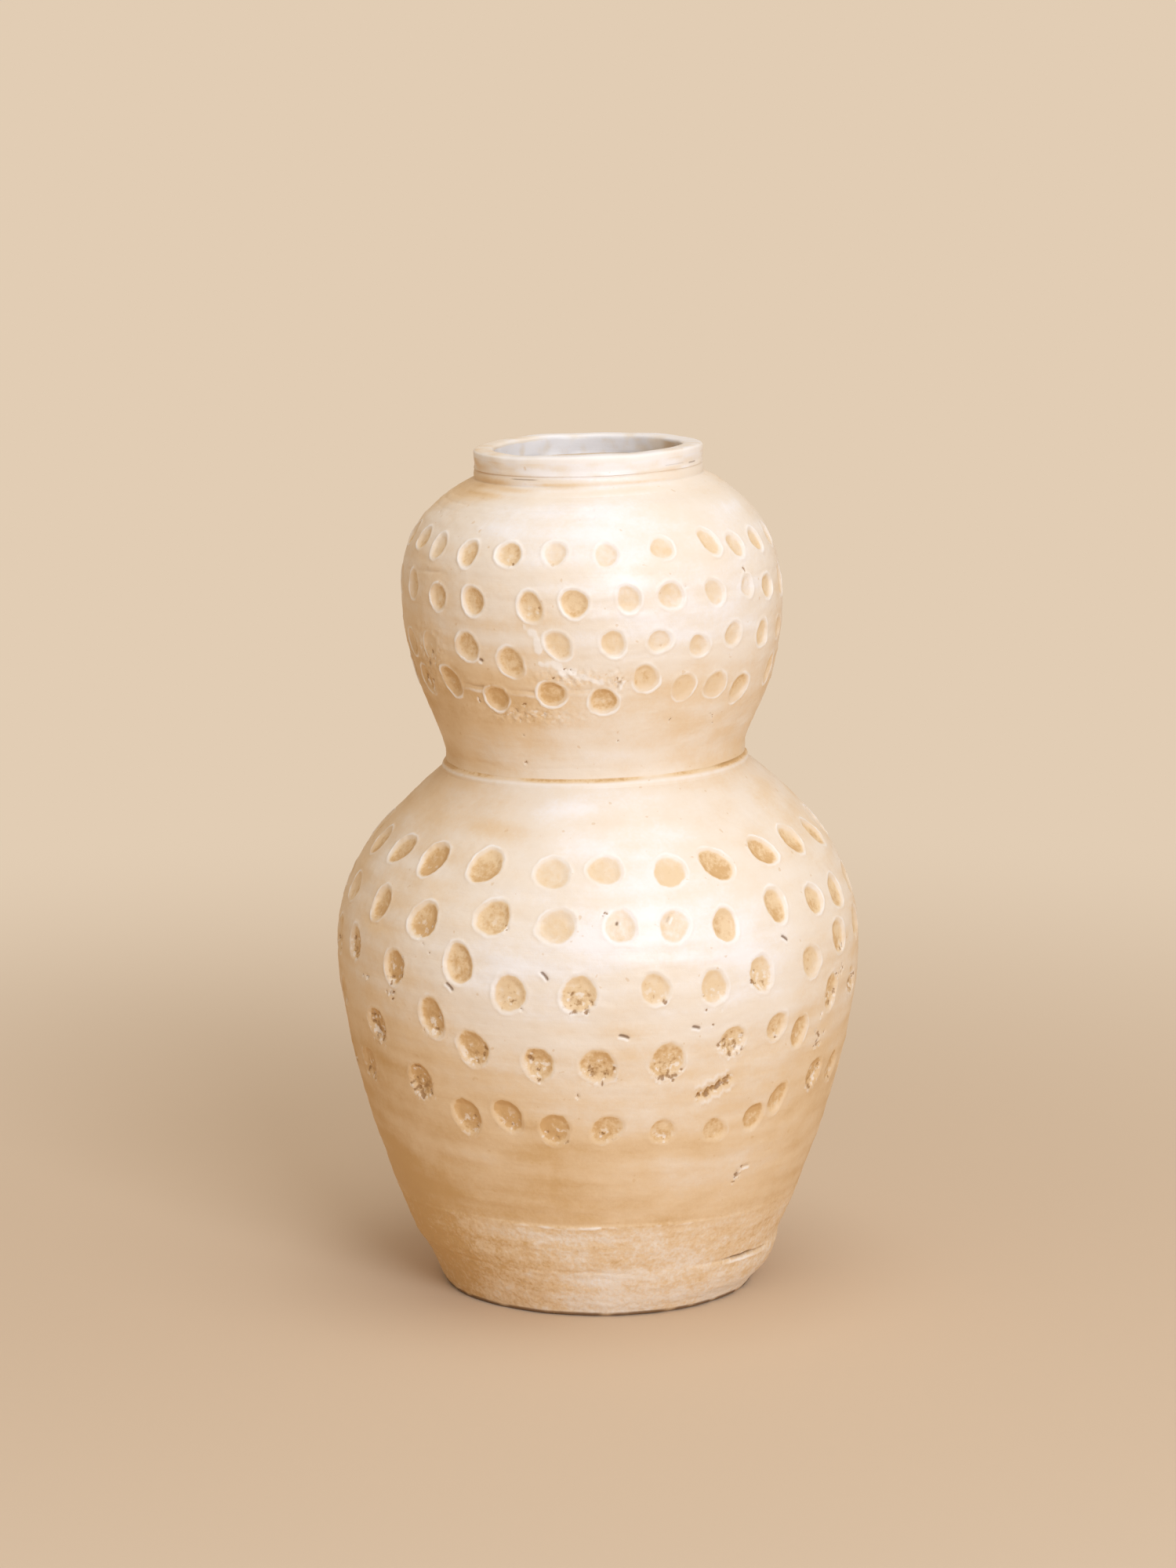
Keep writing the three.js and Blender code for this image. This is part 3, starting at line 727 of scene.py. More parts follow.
# Each row: turn, height, spread, how many, size
BELLY_GRIT = [
    (-49.8, 164.7, 4.0, 6, 0.9), (58.8, 134.9, 6.0, 12, 0.9), (58.5, 148.7, 0.5, 1, 1.1),
    (1.8, 211.2, 0.3, 1, 0.9), (-85.0, 176.0, 3.0, 5, 0.9), (-20.5, 204.0, 0.5, 2, 0.9),
    (38.0, 74.5, 5.0, 12, 0.8), (66.0, 168.0, 5.0, 8, 0.8), (-4.8, 124.2, 2.0, 2, 0.7),
    (25.0, 160.0, 6.0, 3, 0.6), (-40.0, 190.0, 5.0, 3, 0.6), (110.0, 140.0, 6.0, 8, 0.8),
    (-120.0, 150.0, 6.0, 8, 0.8), (160.0, 90.0, 5.0, 6, 0.7), (-60.0, 168.0, 4.0, 4, 0.8),
]
scatter(belly_skin, BELLY_GRIT, 0.6, rng)
print("belly relief from", belly_skin.relief.min(), "to", belly_skin.relief.max())

# %% [markdown]
# ## The bulb's own marks
#
# The joint between the first two courses with presses never quite closed, and cracks show
# along it. Round it the clay is grainy, as if it had been worked when it was nearly dry, and
# thick wash was wiped over it with a finger. Fine rings run round the neck, where the collar
# was turned down on it.

# %% Grainy places and smears
def grain(skin, turn, height, across_size, up_size, depth, seed):
    """A patch of grainy clay: short unevenness under a bell curve across and up."""
    reach = 2.2 * max(across_size, up_size)
    where, across, up = skin.window(math.radians(turn), skin.wall.distance_at(height), reach)
    patch = hump(across / across_size, up / up_size) * skin.untouched[where]
    x, y, z = skin.points(where)
    rough = unevenness(x, y, z, 4.0, seed) + 0.5 * unevenness(x, y, z, 2.2, seed + 1)
    skin.relief[where] += depth * patch * rough
    skin.lay("sand", where, patch)
    skin.lay("tear", where, patch * (0.22 + 0.25 * smooth_step(0.2, -0.9, rough)))
    skin.lay("rim", where, 0.35 * patch * smooth_step(0.5, 1.2, rough))


def smear(skin, start, end, width, seed):
    """A pale smear between two places, each a turn and a height: level across the stroke,
    with sides and ends made ragged by short unevenness."""
    where, run, off, length = skin.stroke(start, end)
    ragged = unevenness(*skin.points(where), 5.0, seed)
    sideways = np.abs(off + 0.4 * width * np.sin(0.6 * run)) + 0.35 * width * ragged
    stroke = smooth_step(0.5 * length + 2, 0.5 * length - 2, np.abs(run) + 1.5 * ragged)
    stroke *= smooth_step(1.6 * width, 0.3 * width, sideways) * skin.untouched[where]
    skin.relief[where] += 0.18 * stroke
    skin.lay("rim", where, 0.8 * stroke)


# %% Marks on the bulb
# Each row: turns, heights, depth, width, wander, darkness, seed, and for some lip and ridge
BULB_CRACKS = [
    ((-76, -50), (362.0, 364.9), 0.4, 0.9, 0.2, 0.35, 7),
    ((-46, 2), (311.2, 312.6), 0.6, 1.2, 0.5, 0.45, 8, 0.4, 0.3),
    ((5, 10), (312.6, 315.0), 0.6, 0.9, 0.3, 0.5, 9, 0.0, 0.4),
    ((150, 205), (321.5, 321.0), 0.6, 0.8, 0.4, 0.6, 10),
]
# Each row: height, depth
TURNING_RINGS = [(399.5, 0.22), (396.7, 0.26), (393.5, 0.18), (272.0, 0.2)]
# Each row: turn, height, half width, half height, depth, seed
GRAINY_PLACES = [
    (-6, 318.5, 17, 4.5, 0.28, 81), (-22, 299, 22, 5, 0.22, 83), (-60, 324, 13, 12, 0.22, 85),
    (6.5, 317.5, 4, 5, 0.4, 87),
]
# Each row: start and end as turn and height, width, seed
SMEARS = [
    ((-18.5, 343), (-14.5, 329), 2.4, 51),
    ((-15, 327), (-5, 319.5), 2.2, 52),
    ((-6, 320), (3, 316.5), 1.5, 53),
]
for row in BULB_CRACKS:
    crack(bulb_skin, *row)
for height, depth in TURNING_RINGS:
    crack(bulb_skin, (-178, 178), (height, height), depth, 0.9, 0.25, darkness=0.12, seed=int(height))
for row in GRAINY_PLACES:
    grain(bulb_skin, *row)
for row in SMEARS:
    smear(bulb_skin, *row)
nick(bulb_skin, -35.2, 325.0, 3.0, -25)
nick(bulb_skin, 7.8, 315.5, 6.0, 65, depth=0.4, darkness=0.5)
BULB_GRIT = [
    (52.8, 366.2, 0.5, 2, 0.9), (43.0, 294.1, 3.0, 4, 0.6), (29.2, 361.3, 0.5, 1, 0.6),
    (7.0, 318.5, 3.0, 3, 0.8), (-20.0, 300.0, 9.0, 5, 0.6), (-71.0, 391.7, 0.5, 1, 0.7),
    (7.8, 286.1, 0.5, 1, 0.7), (-27.0, 274.4, 1.0, 2, 0.7), (-40.0, 303.0, 5.0, 3, 0.6),
    (140.0, 330.0, 7.0, 8, 0.7), (-130.0, 345.0, 6.0, 6, 0.7), (26.8, 295.8, 2.0, 2, 0.6),
    (-8.0, 319.0, 7.0, 4, 0.6),
]
scatter(bulb_skin, BULB_GRIT, 0.4, rng)
print("bulb relief from", bulb_skin.relief.min(), "to", bulb_skin.relief.max())

# %% [markdown]
# ## How thick the wash lies
#
# The brush was loaded at the top and ran dry lower down, and the underside of both jars stayed
# tan. Both sides are darker, the left most: partly thin wash and partly painted shade where the
# wall turns away from the light. One number for each point, from 0 for bare clay to about 1.3,
# tells the material how much wash there is: it follows height and turn, and slow unevenness
# breaks it up.

# %% Wash thickness
WASH_HEIGHTS = [0, 25, 48, 56, 75, 95, 125, 150, 190, 225, 258, 266, 280, 300, 318, 338, 360, 388, 403, 420]
WASH_FRONT = [
    0.7, 0.62, 0.58, 0.4, 0.44, 0.56, 0.7, 0.88, 1.08, 1.02,
    0.9, 0.74, 0.74, 0.72, 0.74, 0.92, 1.02, 1.08, 0.95, 1.2,
]
MOST_WASH = 1.3
SIDE_HEIGHTS = [0, 40, 58, 90, 130, 200, 262, 300, 340, 400]
# The shares at the left and at the right darken the sides: partly thin wash and partly painted shade where
# the wall turns away from the light
TAN_AND_SHADE_LEFT = [0.7, 0.66, 0.36, 0.46, 0.66, 0.52, 0.46, 0.5, 0.48, 0.5]
TAN_AND_SHADE_RIGHT = [0.25, 0.25, 0.1, 0.2, 0.36, 0.4, 0.26, 0.22, 0.18, 0.26]
LEFT_SIDE = math.radians(-95.0)
RIGHT_SIDE = math.radians(100.0)
# Each row: turn, height, half width in degrees, half height, how much thicker or thinner
# The patch left of the belly's middle at 190 mm is painted light: it lightens the wash where the lamps leave
# that side darker
PATCHES = [
    (-32, 306, 36, 15, -0.2), (-60, 402, 22, 5, -0.3), (-48, 28, 30, 15, -0.22),
    (-12, 45, 22, 5, 0.26), (0, 22, 20, 5, 0.2), (38, 7, 34, 6, 0.28), (-18, 190, 18, 16, 0.25),
    (30, 75, 22, 12, 0.22), (4, 96, 32, 9, -0.2), (-16, 347, 13, 7, -0.22), (38, 335, 24, 16, 0.16),
    (-10, 388, 26, 12, 0.12), (30, 365, 30, 14, 0.08), (-50, 360, 22, 6, -0.12), (12, 205, 24, 12, 0.12),
    (-30, 245, 24, 12, -0.1), (-45, 84, 26, 13, 0.14),
]


def wash_of(x, y, z, turn):
    """The front's wash at each height, less a share that grows towards either side as the
    cube of half of one plus the cosine of the turn from it, partly thin wash and partly painted
    shade, plus bell-shaped patches and slow unevenness, less a streaky line on the neck at the
    left."""
    wash = np.interp(z, WASH_HEIGHTS, WASH_FRONT)
    # Painted shade, partly thin wash: the wash thins towards either side
    for side, shares in ((LEFT_SIDE, TAN_AND_SHADE_LEFT), (RIGHT_SIDE, TAN_AND_SHADE_RIGHT)):
        wash = wash - np.interp(z, SIDE_HEIGHTS, shares) * (0.5 + 0.5 * np.cos(turn - side)) ** 3
    for middle, height, half_width, half_height, change in PATCHES:
        wash = wash + change * bell(turn, middle, half_width, z, height, half_height)
    streaks = 0.5 + 0.5 * unevenness(x, y, z, 30.0, 93, flat=9.0)
    wash = wash - 0.3 * bell(turn, -25, 48, z, 405, 4) * streaks
    wash = wash + 0.06 * unevenness(x, y, z, 75.0, 91) + 0.045 * unevenness(x, y, z, 40.0, 92, flat=5.0)
    return np.clip(wash, 0.0, MOST_WASH)


# %% [markdown]
# ## From rings to closed shells
#
# A coil is a ring of clay, so its mesh is a torus-like grid: rows go up the outside, in over
# the upper seat, down the inside and back out under the lower seat, and both directions close
# on themselves. The seats are bevelled as the solids' are: the inner edge lies lower, so that
# each coil hangs a little way into the one below.

# %% Mesh from rings
def ring_quads(low, high, columns):
    """The quads between rings low and rings high of a grid, as numbers of its points."""
    column = np.arange(columns)
    ahead = (column + 1) % columns
    low, high = low[:, None] * columns, high[:, None] * columns
    return np.stack([low + column, low + ahead, high + ahead, high + column], axis=-1).reshape(-1, 4)


def shell_mesh(name, rings, paints, sharp_rows, poles=()):
    """A closed mesh from rings stacked into a grid of rows and columns, each ring closed.
    Without poles the last ring joins the first; with poles the grid ends in fans there."""
    rows, columns, _ = rings.shape
    points = rings.reshape(-1, 3)
    row = np.arange(rows - 1 if poles else rows)
    quads = ring_quads(row, (row + 1) % rows, columns)
    loops, starts = quads.ravel(), np.arange(len(quads)) * 4
    if poles:
        points = np.vstack([points, poles])
        here = np.arange(columns)
        ahead = (here + 1) % columns
        last_row = (rows - 1) * columns
        first = np.stack([ahead, here, np.full(columns, rows * columns)], axis=1)
        last = np.stack([last_row + here, last_row + ahead, np.full(columns, rows * columns + 1)], axis=1)
        fans = np.vstack([first, last])
        starts = np.concatenate([starts, len(loops) + np.arange(len(fans)) * 3])
        loops = np.concatenate([loops, fans.ravel()])
    mesh = bpy.data.meshes.new(name)
    mesh.vertices.add(len(points))
    mesh.vertices.foreach_set("co", (points * MM).ravel())
    mesh.loops.add(len(loops))
    mesh.loops.foreach_set("vertex_index", loops)
    mesh.polygons.add(len(starts))
    mesh.polygons.foreach_set("loop_start", starts)
    mesh.update(calc_edges=True)
    mesh.polygons.foreach_set("use_smooth", np.ones(len(starts), dtype=bool))
    for paint_name, values in paints.items():
        attribute = mesh.attributes.new(paint_name, "FLOAT", "POINT")
        flat = np.concatenate([values.ravel(), np.zeros(len(points) - values.size)])
        attribute.data.foreach_set("value", flat.astype(np.float32))
    mark_sharp(mesh, sharp_rows, columns)
    mesh.validate()
    return mesh


def mark_sharp(mesh, sharp_rows, columns):
    """Marks the ring edges of some rows as sharp, so that the outside isn't shaded round
    into the seats."""
    ends = np.empty(len(mesh.edges) * 2, dtype=np.int32)
    mesh.edges.foreach_get("vertices", ends)
    rows = ends.reshape(-1, 2) // columns
    sharp = (rows[:, 0] == rows[:, 1]) & np.isin(rows[:, 0], sharp_rows)
    attribute = mesh.attributes.new("sharp_edge", "BOOLEAN", "EDGE")
    attribute.data.foreach_set("value", sharp)


# %% [markdown]
# The outside rows come from the jar's grid with its relief. The inside was only smoothed by
# hand, so it takes a row every few millimetres, with its own slow unevenness.

# %% Rings of a coil
SEAT_LAP = 3.0
INSIDE_STEP = 6.0
INSIDE_BUMPS = 0.35


def outside_rings(skin, first, last):
    """Rings of the outside between two rows: the profile moved out by the relief, swung
    round and settled, with the paints of those rows and the wash."""
    rows = slice(first, last + 1)
    x, y, z = swung(*skin.moved_out(rows), skin.turn)
    paints = {name: values[rows] for name, values in skin.paint.items()}
    paints["wash"] = wash_of(x, y, z, skin.turn)
    return settle(x, y, z), paints


def inside_rings(skin, high, low):
    """Rings of the inside from high to low along the wall, one wall thickness in from the
    outside's profile."""
    count = max(2, round((high - low) / INSIDE_STEP) + 1)
    along = np.linspace(high, low, count)
    radius, height, out_radius, out_height = skin.wall.at(along)
    before = np.minimum(along, 0.0)
    radius = (radius - WALL * out_radius - before * out_height[0])[:, None]
    height = (height - WALL * out_height + before * out_radius[0])[:, None]
    bumps = INSIDE_BUMPS * unevenness(*swung(radius, height, skin.turn), 34.0, 61, waves=14, flat=2.5)
    return settle(*swung(radius - bumps, height, skin.turn))


def inside_ring(skin, along):
    """One ring of the inside."""
    return inside_rings(skin, along, along)[:1]


def plain_paints(rings, wash):
    """Paints for rings without marks, with this wash everywhere or at each point."""
    shape = rings.shape[:2]
    paints = {name: np.zeros(shape, dtype=np.float32) for name in PAINTS}
    paints["wash"] = np.full(shape, wash, dtype=np.float32)
    return paints


def joined(*parts):
    """Stacks (rings, paints) parts into one grid."""
    rings = np.concatenate([part[0] for part in parts])
    paints = {name: np.concatenate([part[1][name] for part in parts]) for name in parts[0][1]}
    return rings, paints


# %% [markdown]
# ## Clay and wash
#
# The finish is one family of materials. Fired clay is tan and slightly grainy. The wash is
# cream, brushed on in level strokes, and its thickness is the wash paint. A press shows the tan
# clay on its floor and keeps a pale rim, tears show dark broken clay, and cracks are darker
# still. Some of the pale is painted highlight and some of the tan and dark is painted shade:
# on rims, edges and the lip, on the sides, in press floors, in creases and along the foot.
# The grain and the fine pits are bump; everything bigger is in the mesh.

# %% Colours, as linear light
def linear(red, green, blue):
    """A colour written as 0 to 255 turned into linear light by the sRGB curve."""
    shares = [value / 255 for value in (red, green, blue)]
    bent = [s / 12.92 if s <= 0.04045 else ((s + 0.055) / 1.055) ** 2.4 for s in shares]
    return (*bent, 1.0)


WHITE_WASH = linear(251, 248, 248)
CREAM = linear(245, 233, 218)
THIN_WASH = linear(236, 208, 170)
BARE_CLAY = linear(215, 176, 121)
PRESS_TAN = linear(237, 209, 167)
PRESS_OCHRE = linear(209, 166, 108)
PALE_RIM_AND_HIGHLIGHT = linear(253, 248, 243)
BROKEN_CLAY = linear(160, 120, 77)
CRACK_AND_SHADE_DARK = linear(116, 80, 48)


# %% Nodes and maths on what they give out
class Value:
    """A number that a node gives out. +, -, * and the methods add maths nodes to its tree."""

    def __init__(self, tree, socket):
        self.tree, self.socket = tree, socket

    def maths(self, operation, other):
        """This value and another put through a maths node."""
        node = add(self.tree, "ShaderNodeMath", {0: self, 1: other}, operation=operation)
        return Value(self.tree, node.outputs[0])

    def __add__(self, other):
        return self.maths("ADD", other)

    def __sub__(self, other):
        return self.maths("SUBTRACT", other)

    def __mul__(self, other):
        return self.maths("MULTIPLY", other)

    __radd__ = __add__
    __rmul__ = __mul__

    def step(self, low, high):
        """0 where this is at low and 1 where it is at high, smooth between and held beyond."""
        inputs = {"Value": self, "From Min": low, "From Max": high}
        node = add(self.tree, "ShaderNodeMapRange", inputs, interpolation_type="SMOOTHSTEP")
        return Value(self.tree, node.outputs["Result"])


def feed(tree, socket, value):
    """Sets a socket, or links it if the value comes from a node."""
    value = value.socket if isinstance(value, Value) else value
    if isinstance(value, bpy.types.NodeSocket):
        tree.links.new(value, socket)
    else:
        socket.default_value = value


def add(tree, kind, inputs=(), **properties):
    """A new node of a kind with these properties, its inputs given by name or by place."""
    node = tree.nodes.new(kind)
    for name, value in properties.items():
        setattr(node, name, value)
    for name, value in dict(inputs).items():
        feed(tree, node.inputs[name], value)
    return node


def blend(share, under, over):
    """over laid on under by share; each colour is a socket or four numbers."""
    return add(share.tree, "ShaderNodeMix", {0: share, 6: under, 7: over}, data_type="RGBA").outputs[2]


def paint(tree, name):
    """One of the attributes painted on the mesh."""
    return Value(tree, add(tree, "ShaderNodeAttribute", attribute_name=name).outputs["Fac"])


def noise(tree, scale, detail, roughness, upward=None):
    """Noise from 0 to 1 on object coordinates; scale is in cells for each metre. upward, if
    given, is the scale up the pot, so that the pattern runs in level strokes round it."""
    place = add(tree, "ShaderNodeTexCoord").outputs["Object"]
    if upward:
        stretch = {"Vector": place, "Scale": (scale, scale, upward)}
        place = add(tree, "ShaderNodeMapping", stretch, vector_type="POINT").outputs["Vector"]
        scale = 1.0
    inputs = {"Vector": place, "Scale": scale, "Detail": detail, "Roughness": roughness}
    return Value(tree, add(tree, "ShaderNodeTexNoise", inputs, noise_dimensions="3D").outputs["Fac"])


def new_tree(data, name):
    """A material or world with nodes, and its node tree."""
    made = data.new(name)
    made.use_nodes = True
    return made, made.node_tree


# %% The wash material
GRAIN_HEIGHT = 0.00016


def washed_clay(name, whiteness=0.0, dullness=0.37):
    """Clay under wash. whiteness shifts the wash towards white, and dullness is the
    roughness where the wash is thickest; the paints place everything else."""
    material, tree = new_tree(bpy.data.materials, name)
    strokes = noise(tree, 7.0, 5.0, 0.6, upward=150.0)
    hairs = noise(tree, 40.0, 3.0, 0.55, upward=620.0)
    clouds = noise(tree, 24.0, 4.0, 0.55)
    mottle = noise(tree, 110.0, 4.0, 0.6)
    blots = noise(tree, 300.0, 3.0, 0.55)
    specks = noise(tree, 620.0, 3.0, 0.55)
    fine = noise(tree, 1500.0, 2.0, 0.6)
    wash, tan, rim, torn, sand, line = (paint(tree, each) for each in ("wash", *PAINTS))

    # The wash thins in strokes and clouds round its painted thickness, most on rough ground
    thickness = wash + 0.05 * strokes + 0.4 * clouds + 0.26 * mottle + 0.08 * hairs + 0.16 * specks
    broken = 0.45 * mottle + 0.55 * specks + 0.55 * blots + 0.15 * hairs
    thickness = thickness + (whiteness - 0.51) + sand * (broken - 0.87)
    colour = blend(thickness.step(0.0, 0.45), BARE_CLAY, THIN_WASH)
    colour = blend(thickness.step(0.35, 0.85), colour, CREAM)
    colour = blend(thickness.step(0.8, 1.15), colour, WHITE_WASH)

    # Press floors: tan, going to ochre where they are deepest or the wash is thin
    tan = tan * (1.4 * mottle + 0.32) + 0.35 * blots + 0.2 * specks - 0.275
    floors = 0.92 * tan.step(0.05, 0.7)
    colour = blend(floors, colour, PRESS_TAN)
    deep = tan + 0.6 * clouds + 0.7 * blots + 0.8 * specks - 0.8 * thickness
    colour = blend(0.85 * floors * deep.step(1.0, 1.65), colour, PRESS_OCHRE)
    # Pale rims, crumbs, burrs and edges, partly painted highlight
    colour = blend(0.85 * (rim + 0.4 * blots).step(0.32, 1.0), colour, PALE_RIM_AND_HIGHLIGHT)

    # Torn ground: brown where specks and blots pass a level that the tear paint lowers
    pits = (0.5 * torn + 0.8 * blots + 0.4 * specks).step(0.8, 1.08) * torn.step(0.04, 0.3)
    colour = blend(0.85 * pits, colour, BROKEN_CLAY)
    colour = blend(0.6 * blots.step(0.46, 0.36) * torn.step(0.1, 0.35), colour, PALE_RIM_AND_HIGHLIGHT)
    # Cracks and dark lines, among them painted shade in creases and a painted contact shadow at the foot
    colour = blend(0.85 * line.step(0.15, 0.95), colour, CRACK_AND_SHADE_DARK)

    # Stray specks in the wash
    stray = noise(tree, 260.0, 1.0, 0.4).step(0.745, 0.785)
    colour = blend(0.35 * stray, colour, BARE_CLAY)

    # The wash is rubbed smooth, while bare clay and tears are dull; the grain is bump
    dull = 0.24 * thickness.step(1.1, 0.4) + 0.1 * fine + 0.1 * sand + dullness
    height = 0.25 * fine + 0.6 * mottle + 0.25 * strokes + 0.5 * hairs + 0.4 * specks - 1.2 * pits
    height = height + 0.7 * floors * blots + sand * (0.7 * specks + 1.1 * blots)
    bump = add(tree, "ShaderNodeBump", {"Strength": 1.0, "Distance": GRAIN_HEIGHT, "Height": height})
    shader = tree.nodes["Principled BSDF"]
    finish = {"Base Color": colour, "Roughness": dull, "IOR": 1.45, "Normal": bump.outputs["Normal"]}
    for socket, value in finish.items():
        feed(tree, shader.inputs[socket], value)
    return material


WASH = {
    "bare_foot": washed_clay("rubbed foot", whiteness=0.04, dullness=0.57),
    "belly_wash": washed_clay("belly wash"),
    "luting_clay": washed_clay("luting clay", whiteness=0.04),
    "bulb_wash": washed_clay("bulb wash"),
    "collar_wash": washed_clay("collar wash", whiteness=0.08),
}
print("materials:", len(WASH))


# %% Place a finished piece
def place_piece(name, node, rings, paints, sharp_rows, slot, poles=()):
    """Makes the mesh an object at the origin, gives it its finish and puts it in the node's
    place on the root body."""
    mesh = shell_mesh(name, rings, paints, sharp_rows, poles)
    piece = bpy.data.objects.new(name, mesh)
    bpy.context.scene.collection.objects.link(piece)
    mesh.materials.append(WASH[slot])
    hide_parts(node)
    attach(piece, "root")
    print(name, "has", len(mesh.polygons), "faces")


def place_coil(name, node, outside, outside_paints, inside, inside_wash, slot):
    """Closes the outside and inside rings of a coil into one piece, with sharp seats."""
    rings, paints = joined((outside, outside_paints), (inside, plain_paints(inside, inside_wash)))
    place_piece(name, node, rings, paints, [0, len(outside) - 1, len(outside), len(rings) - 1], slot)


# %% [markdown]
# ## The base
#
# The base was a slab pressed out flat, with its rim turned up to take the first coil. Its foot
# is rounded over where it meets the table, and a dark band along that edge is a painted contact
# shadow. The profile starts and ends on the axis, so its mesh ends in two fans instead of
# closing on itself.

# %% Base dish
FOOT_EDGE = 2.0
FOOT_EDGE_SET_IN = 3.0
FLOOR_CORNER = 3.0
UNDERSIDE_RADII = [8, 30, 52, 66]


def disc_rings(radii, height, turn):
    """Level rings of these radii at one height."""
    return np.stack(swung(np.array(radii, dtype=float)[:, None], height, turn), axis=-1)


def make_base(skin):
    """Underside out from the axis, round the foot's edge, up the outside, over the seat,
    down the inside and in across the floor. A painted contact shadow darkens the foot's edge,
    darkest in front at the left."""
    first, last = skin.joints[:2]
    outside, outside_paints = outside_rings(skin, first, last)
    clear = skin.profile[1][first : last + 1] > FOOT_EDGE
    outside = outside[clear]
    outside_paints = {name: values[clear] for name, values in outside_paints.items()}
    angle = np.linspace(0.0, math.pi / 2, 5)[:-1, None]
    radius = np.hypot(outside[0, :, 0], outside[0, :, 1]) - FOOT_EDGE_SET_IN * (1 - np.sin(angle))
    rounding = np.stack(swung(radius, FOOT_EDGE * (1 - np.cos(angle)), skin.turn), axis=-1)
    outside, outside_paints = joined((rounding, plain_paints(rounding, 0.35)), (outside, outside_paints))
    x, y, z = np.moveaxis(outside, -1, 0)
    # Painted contact shadow along the bottom of the foot, darkest in front at the left
    contact_shadow = np.clip(0.9 + 0.3 * bell(skin.turn, -30, 50) + 0.4 * unevenness(x, y, z, 14.0, 75), 0.45, 1.1)
    contact_shadow *= smooth_step(FOOT_EDGE + 1.0, FOOT_EDGE - 0.6, z)
    outside_paints["line"] = np.maximum(outside_paints["line"], contact_shadow)
    underside = disc_rings(UNDERSIDE_RADII, 0.0, skin.turn)
    foot_of_wall = skin.wall.distance_at(FLOOR_THICKNESS - FLOOR_CORNER)
    inside = inside_rings(skin, skin.along[last] - SEAT_LAP, foot_of_wall)
    inside = inside[inside[:, :, 2].min(axis=1) > FLOOR_THICKNESS + 1.0]
    floor_edge = np.hypot(inside[-1, :, 0], inside[-1, :, 1]).min() - FLOOR_CORNER
    floor = disc_rings([floor_edge, 50, 28, 8], FLOOR_THICKNESS, skin.turn)
    rings, paints = joined(
        (underside, plain_paints(underside, 0.2)),
        (outside, outside_paints),
        (inside, plain_paints(inside, 0.25)),
        (floor, plain_paints(floor, 0.2)),
    )
    seat_row = len(underside) + len(outside) - 1
    poles = [(0.0, 0.0, 0.0), (0.0, 0.0, FLOOR_THICKNESS)]
    place_piece("base_dish_clay", "base_dish", rings, paints, [seat_row, seat_row + 1], "bare_foot", poles)


make_base(belly_skin)


# %% [markdown]
# ## The coils of the two jars
#
# Every other coil of a jar is cut from its grid in the same way: its own rows outside, and
# inside the stretch that lies one seat lap lower.

# %% Coils
def make_coil(skin, index, node, slot):
    """One ring of clay between two joints of a jar's grid."""
    first, last = skin.joints[index : index + 2]
    inside = inside_rings(skin, skin.along[last] - SEAT_LAP, skin.along[first] - SEAT_LAP)
    place_coil(node + "_clay", node, *outside_rings(skin, first, last), inside, 0.3, slot)


for index, node in enumerate(BELLY_COILS):
    if index > 0:
        make_coil(belly_skin, index, node, "bare_foot" if node == "foot_coil" else "belly_wash")
for index, node in enumerate(BULB_COILS):
    make_coil(bulb_skin, index, node, "bulb_wash")

# %% [markdown]
# ## The luted joints and the collar
#
# Two thin coils close the joints: one at the waist, squeezed out as a low bead under a fine
# crease, and one under the collar. The collar itself is a straight band whose lip was rounded
# between finger and thumb and isn't quite even. All three are turned profiles, swung round,
# with a little unevenness of their own.

# %% Waist coil
def resampled(values, count):
    """A closed run of values taken at another number of places round the pot."""
    places = np.arange(count) / count
    return np.interp(places, np.arange(len(values) + 1) / len(values), np.append(values, values[0]))


def make_waist(turn):
    """Between the shoulder's last ring and the bulb's first: out over a low bead, then in
    to a fine crease, and back inside. The crease is painted tan and dark, darkest at the right:
    partly tan clay and partly painted shade."""
    low_radius, low_height = (resampled(values[0], len(turn)) for values in belly_skin.moved_out([-1]))
    high_radius, high_height = bulb_skin.moved_out([0])
    share = np.linspace(0.0, 1.0, 13)[:, None]
    bead = 0.45 * hump((share - 0.45) / 0.3) - 0.4 * hump((share - 0.86) / 0.12)
    uneven = 1.0 + 0.35 * np.sin(3 * turn + 0.5) * np.sin(11 * turn)
    ends = smooth_step(0.0, 0.12, share) * smooth_step(1.0, 0.94, share)
    radius = low_radius + (high_radius - low_radius) * share + bead * uneven * ends
    height = low_height + (high_height - low_height) * share
    x, y, z = swung(radius, height, turn)
    outside = settle(x, y, z)
    paints = plain_paints(outside, wash_of(x, y, z, turn))
    crease = np.clip(0.75 + 0.3 * np.sin(5 * turn + 2.0) + 0.25 * np.sin(13 * turn), 0.35, 1.0)
    paints["rim"][:] = 0.5 * hump((share - 0.42) / 0.25) * ends
    # Tan and a dark line in the crease: partly tan clay and partly painted shade
    paints["tan"][:] = hump((share - 0.84) / 0.26) * crease
    paints["line"][:] = hump((share - 0.88) / 0.14) * (0.2 * crease + 0.28 * bell(turn, 58, 22))
    seat = inside_ring(belly_skin, belly_wall.along[-1] - SEAT_LAP)
    nearest = np.round(np.arange(len(turn)) * seat.shape[1] / len(turn)).astype(int) % seat.shape[1]
    inside = np.concatenate([inside_ring(bulb_skin, -SEAT_LAP), seat[:, nearest]])
    place_coil("waist_coil_clay", "waist_coil", outside, paints, inside, 0.3, "luting_clay")


make_waist(bulb_skin.turn)

# %% Luting coil under the collar
COLLAR_BORE = COLLAR_RADIUS - COLLAR_WALL
OPEN_CRACK_HEIGHT = 408.9
OPEN_CRACK_TURN = math.radians(-33.5)
TAN_LINE_HEIGHT = 406.6


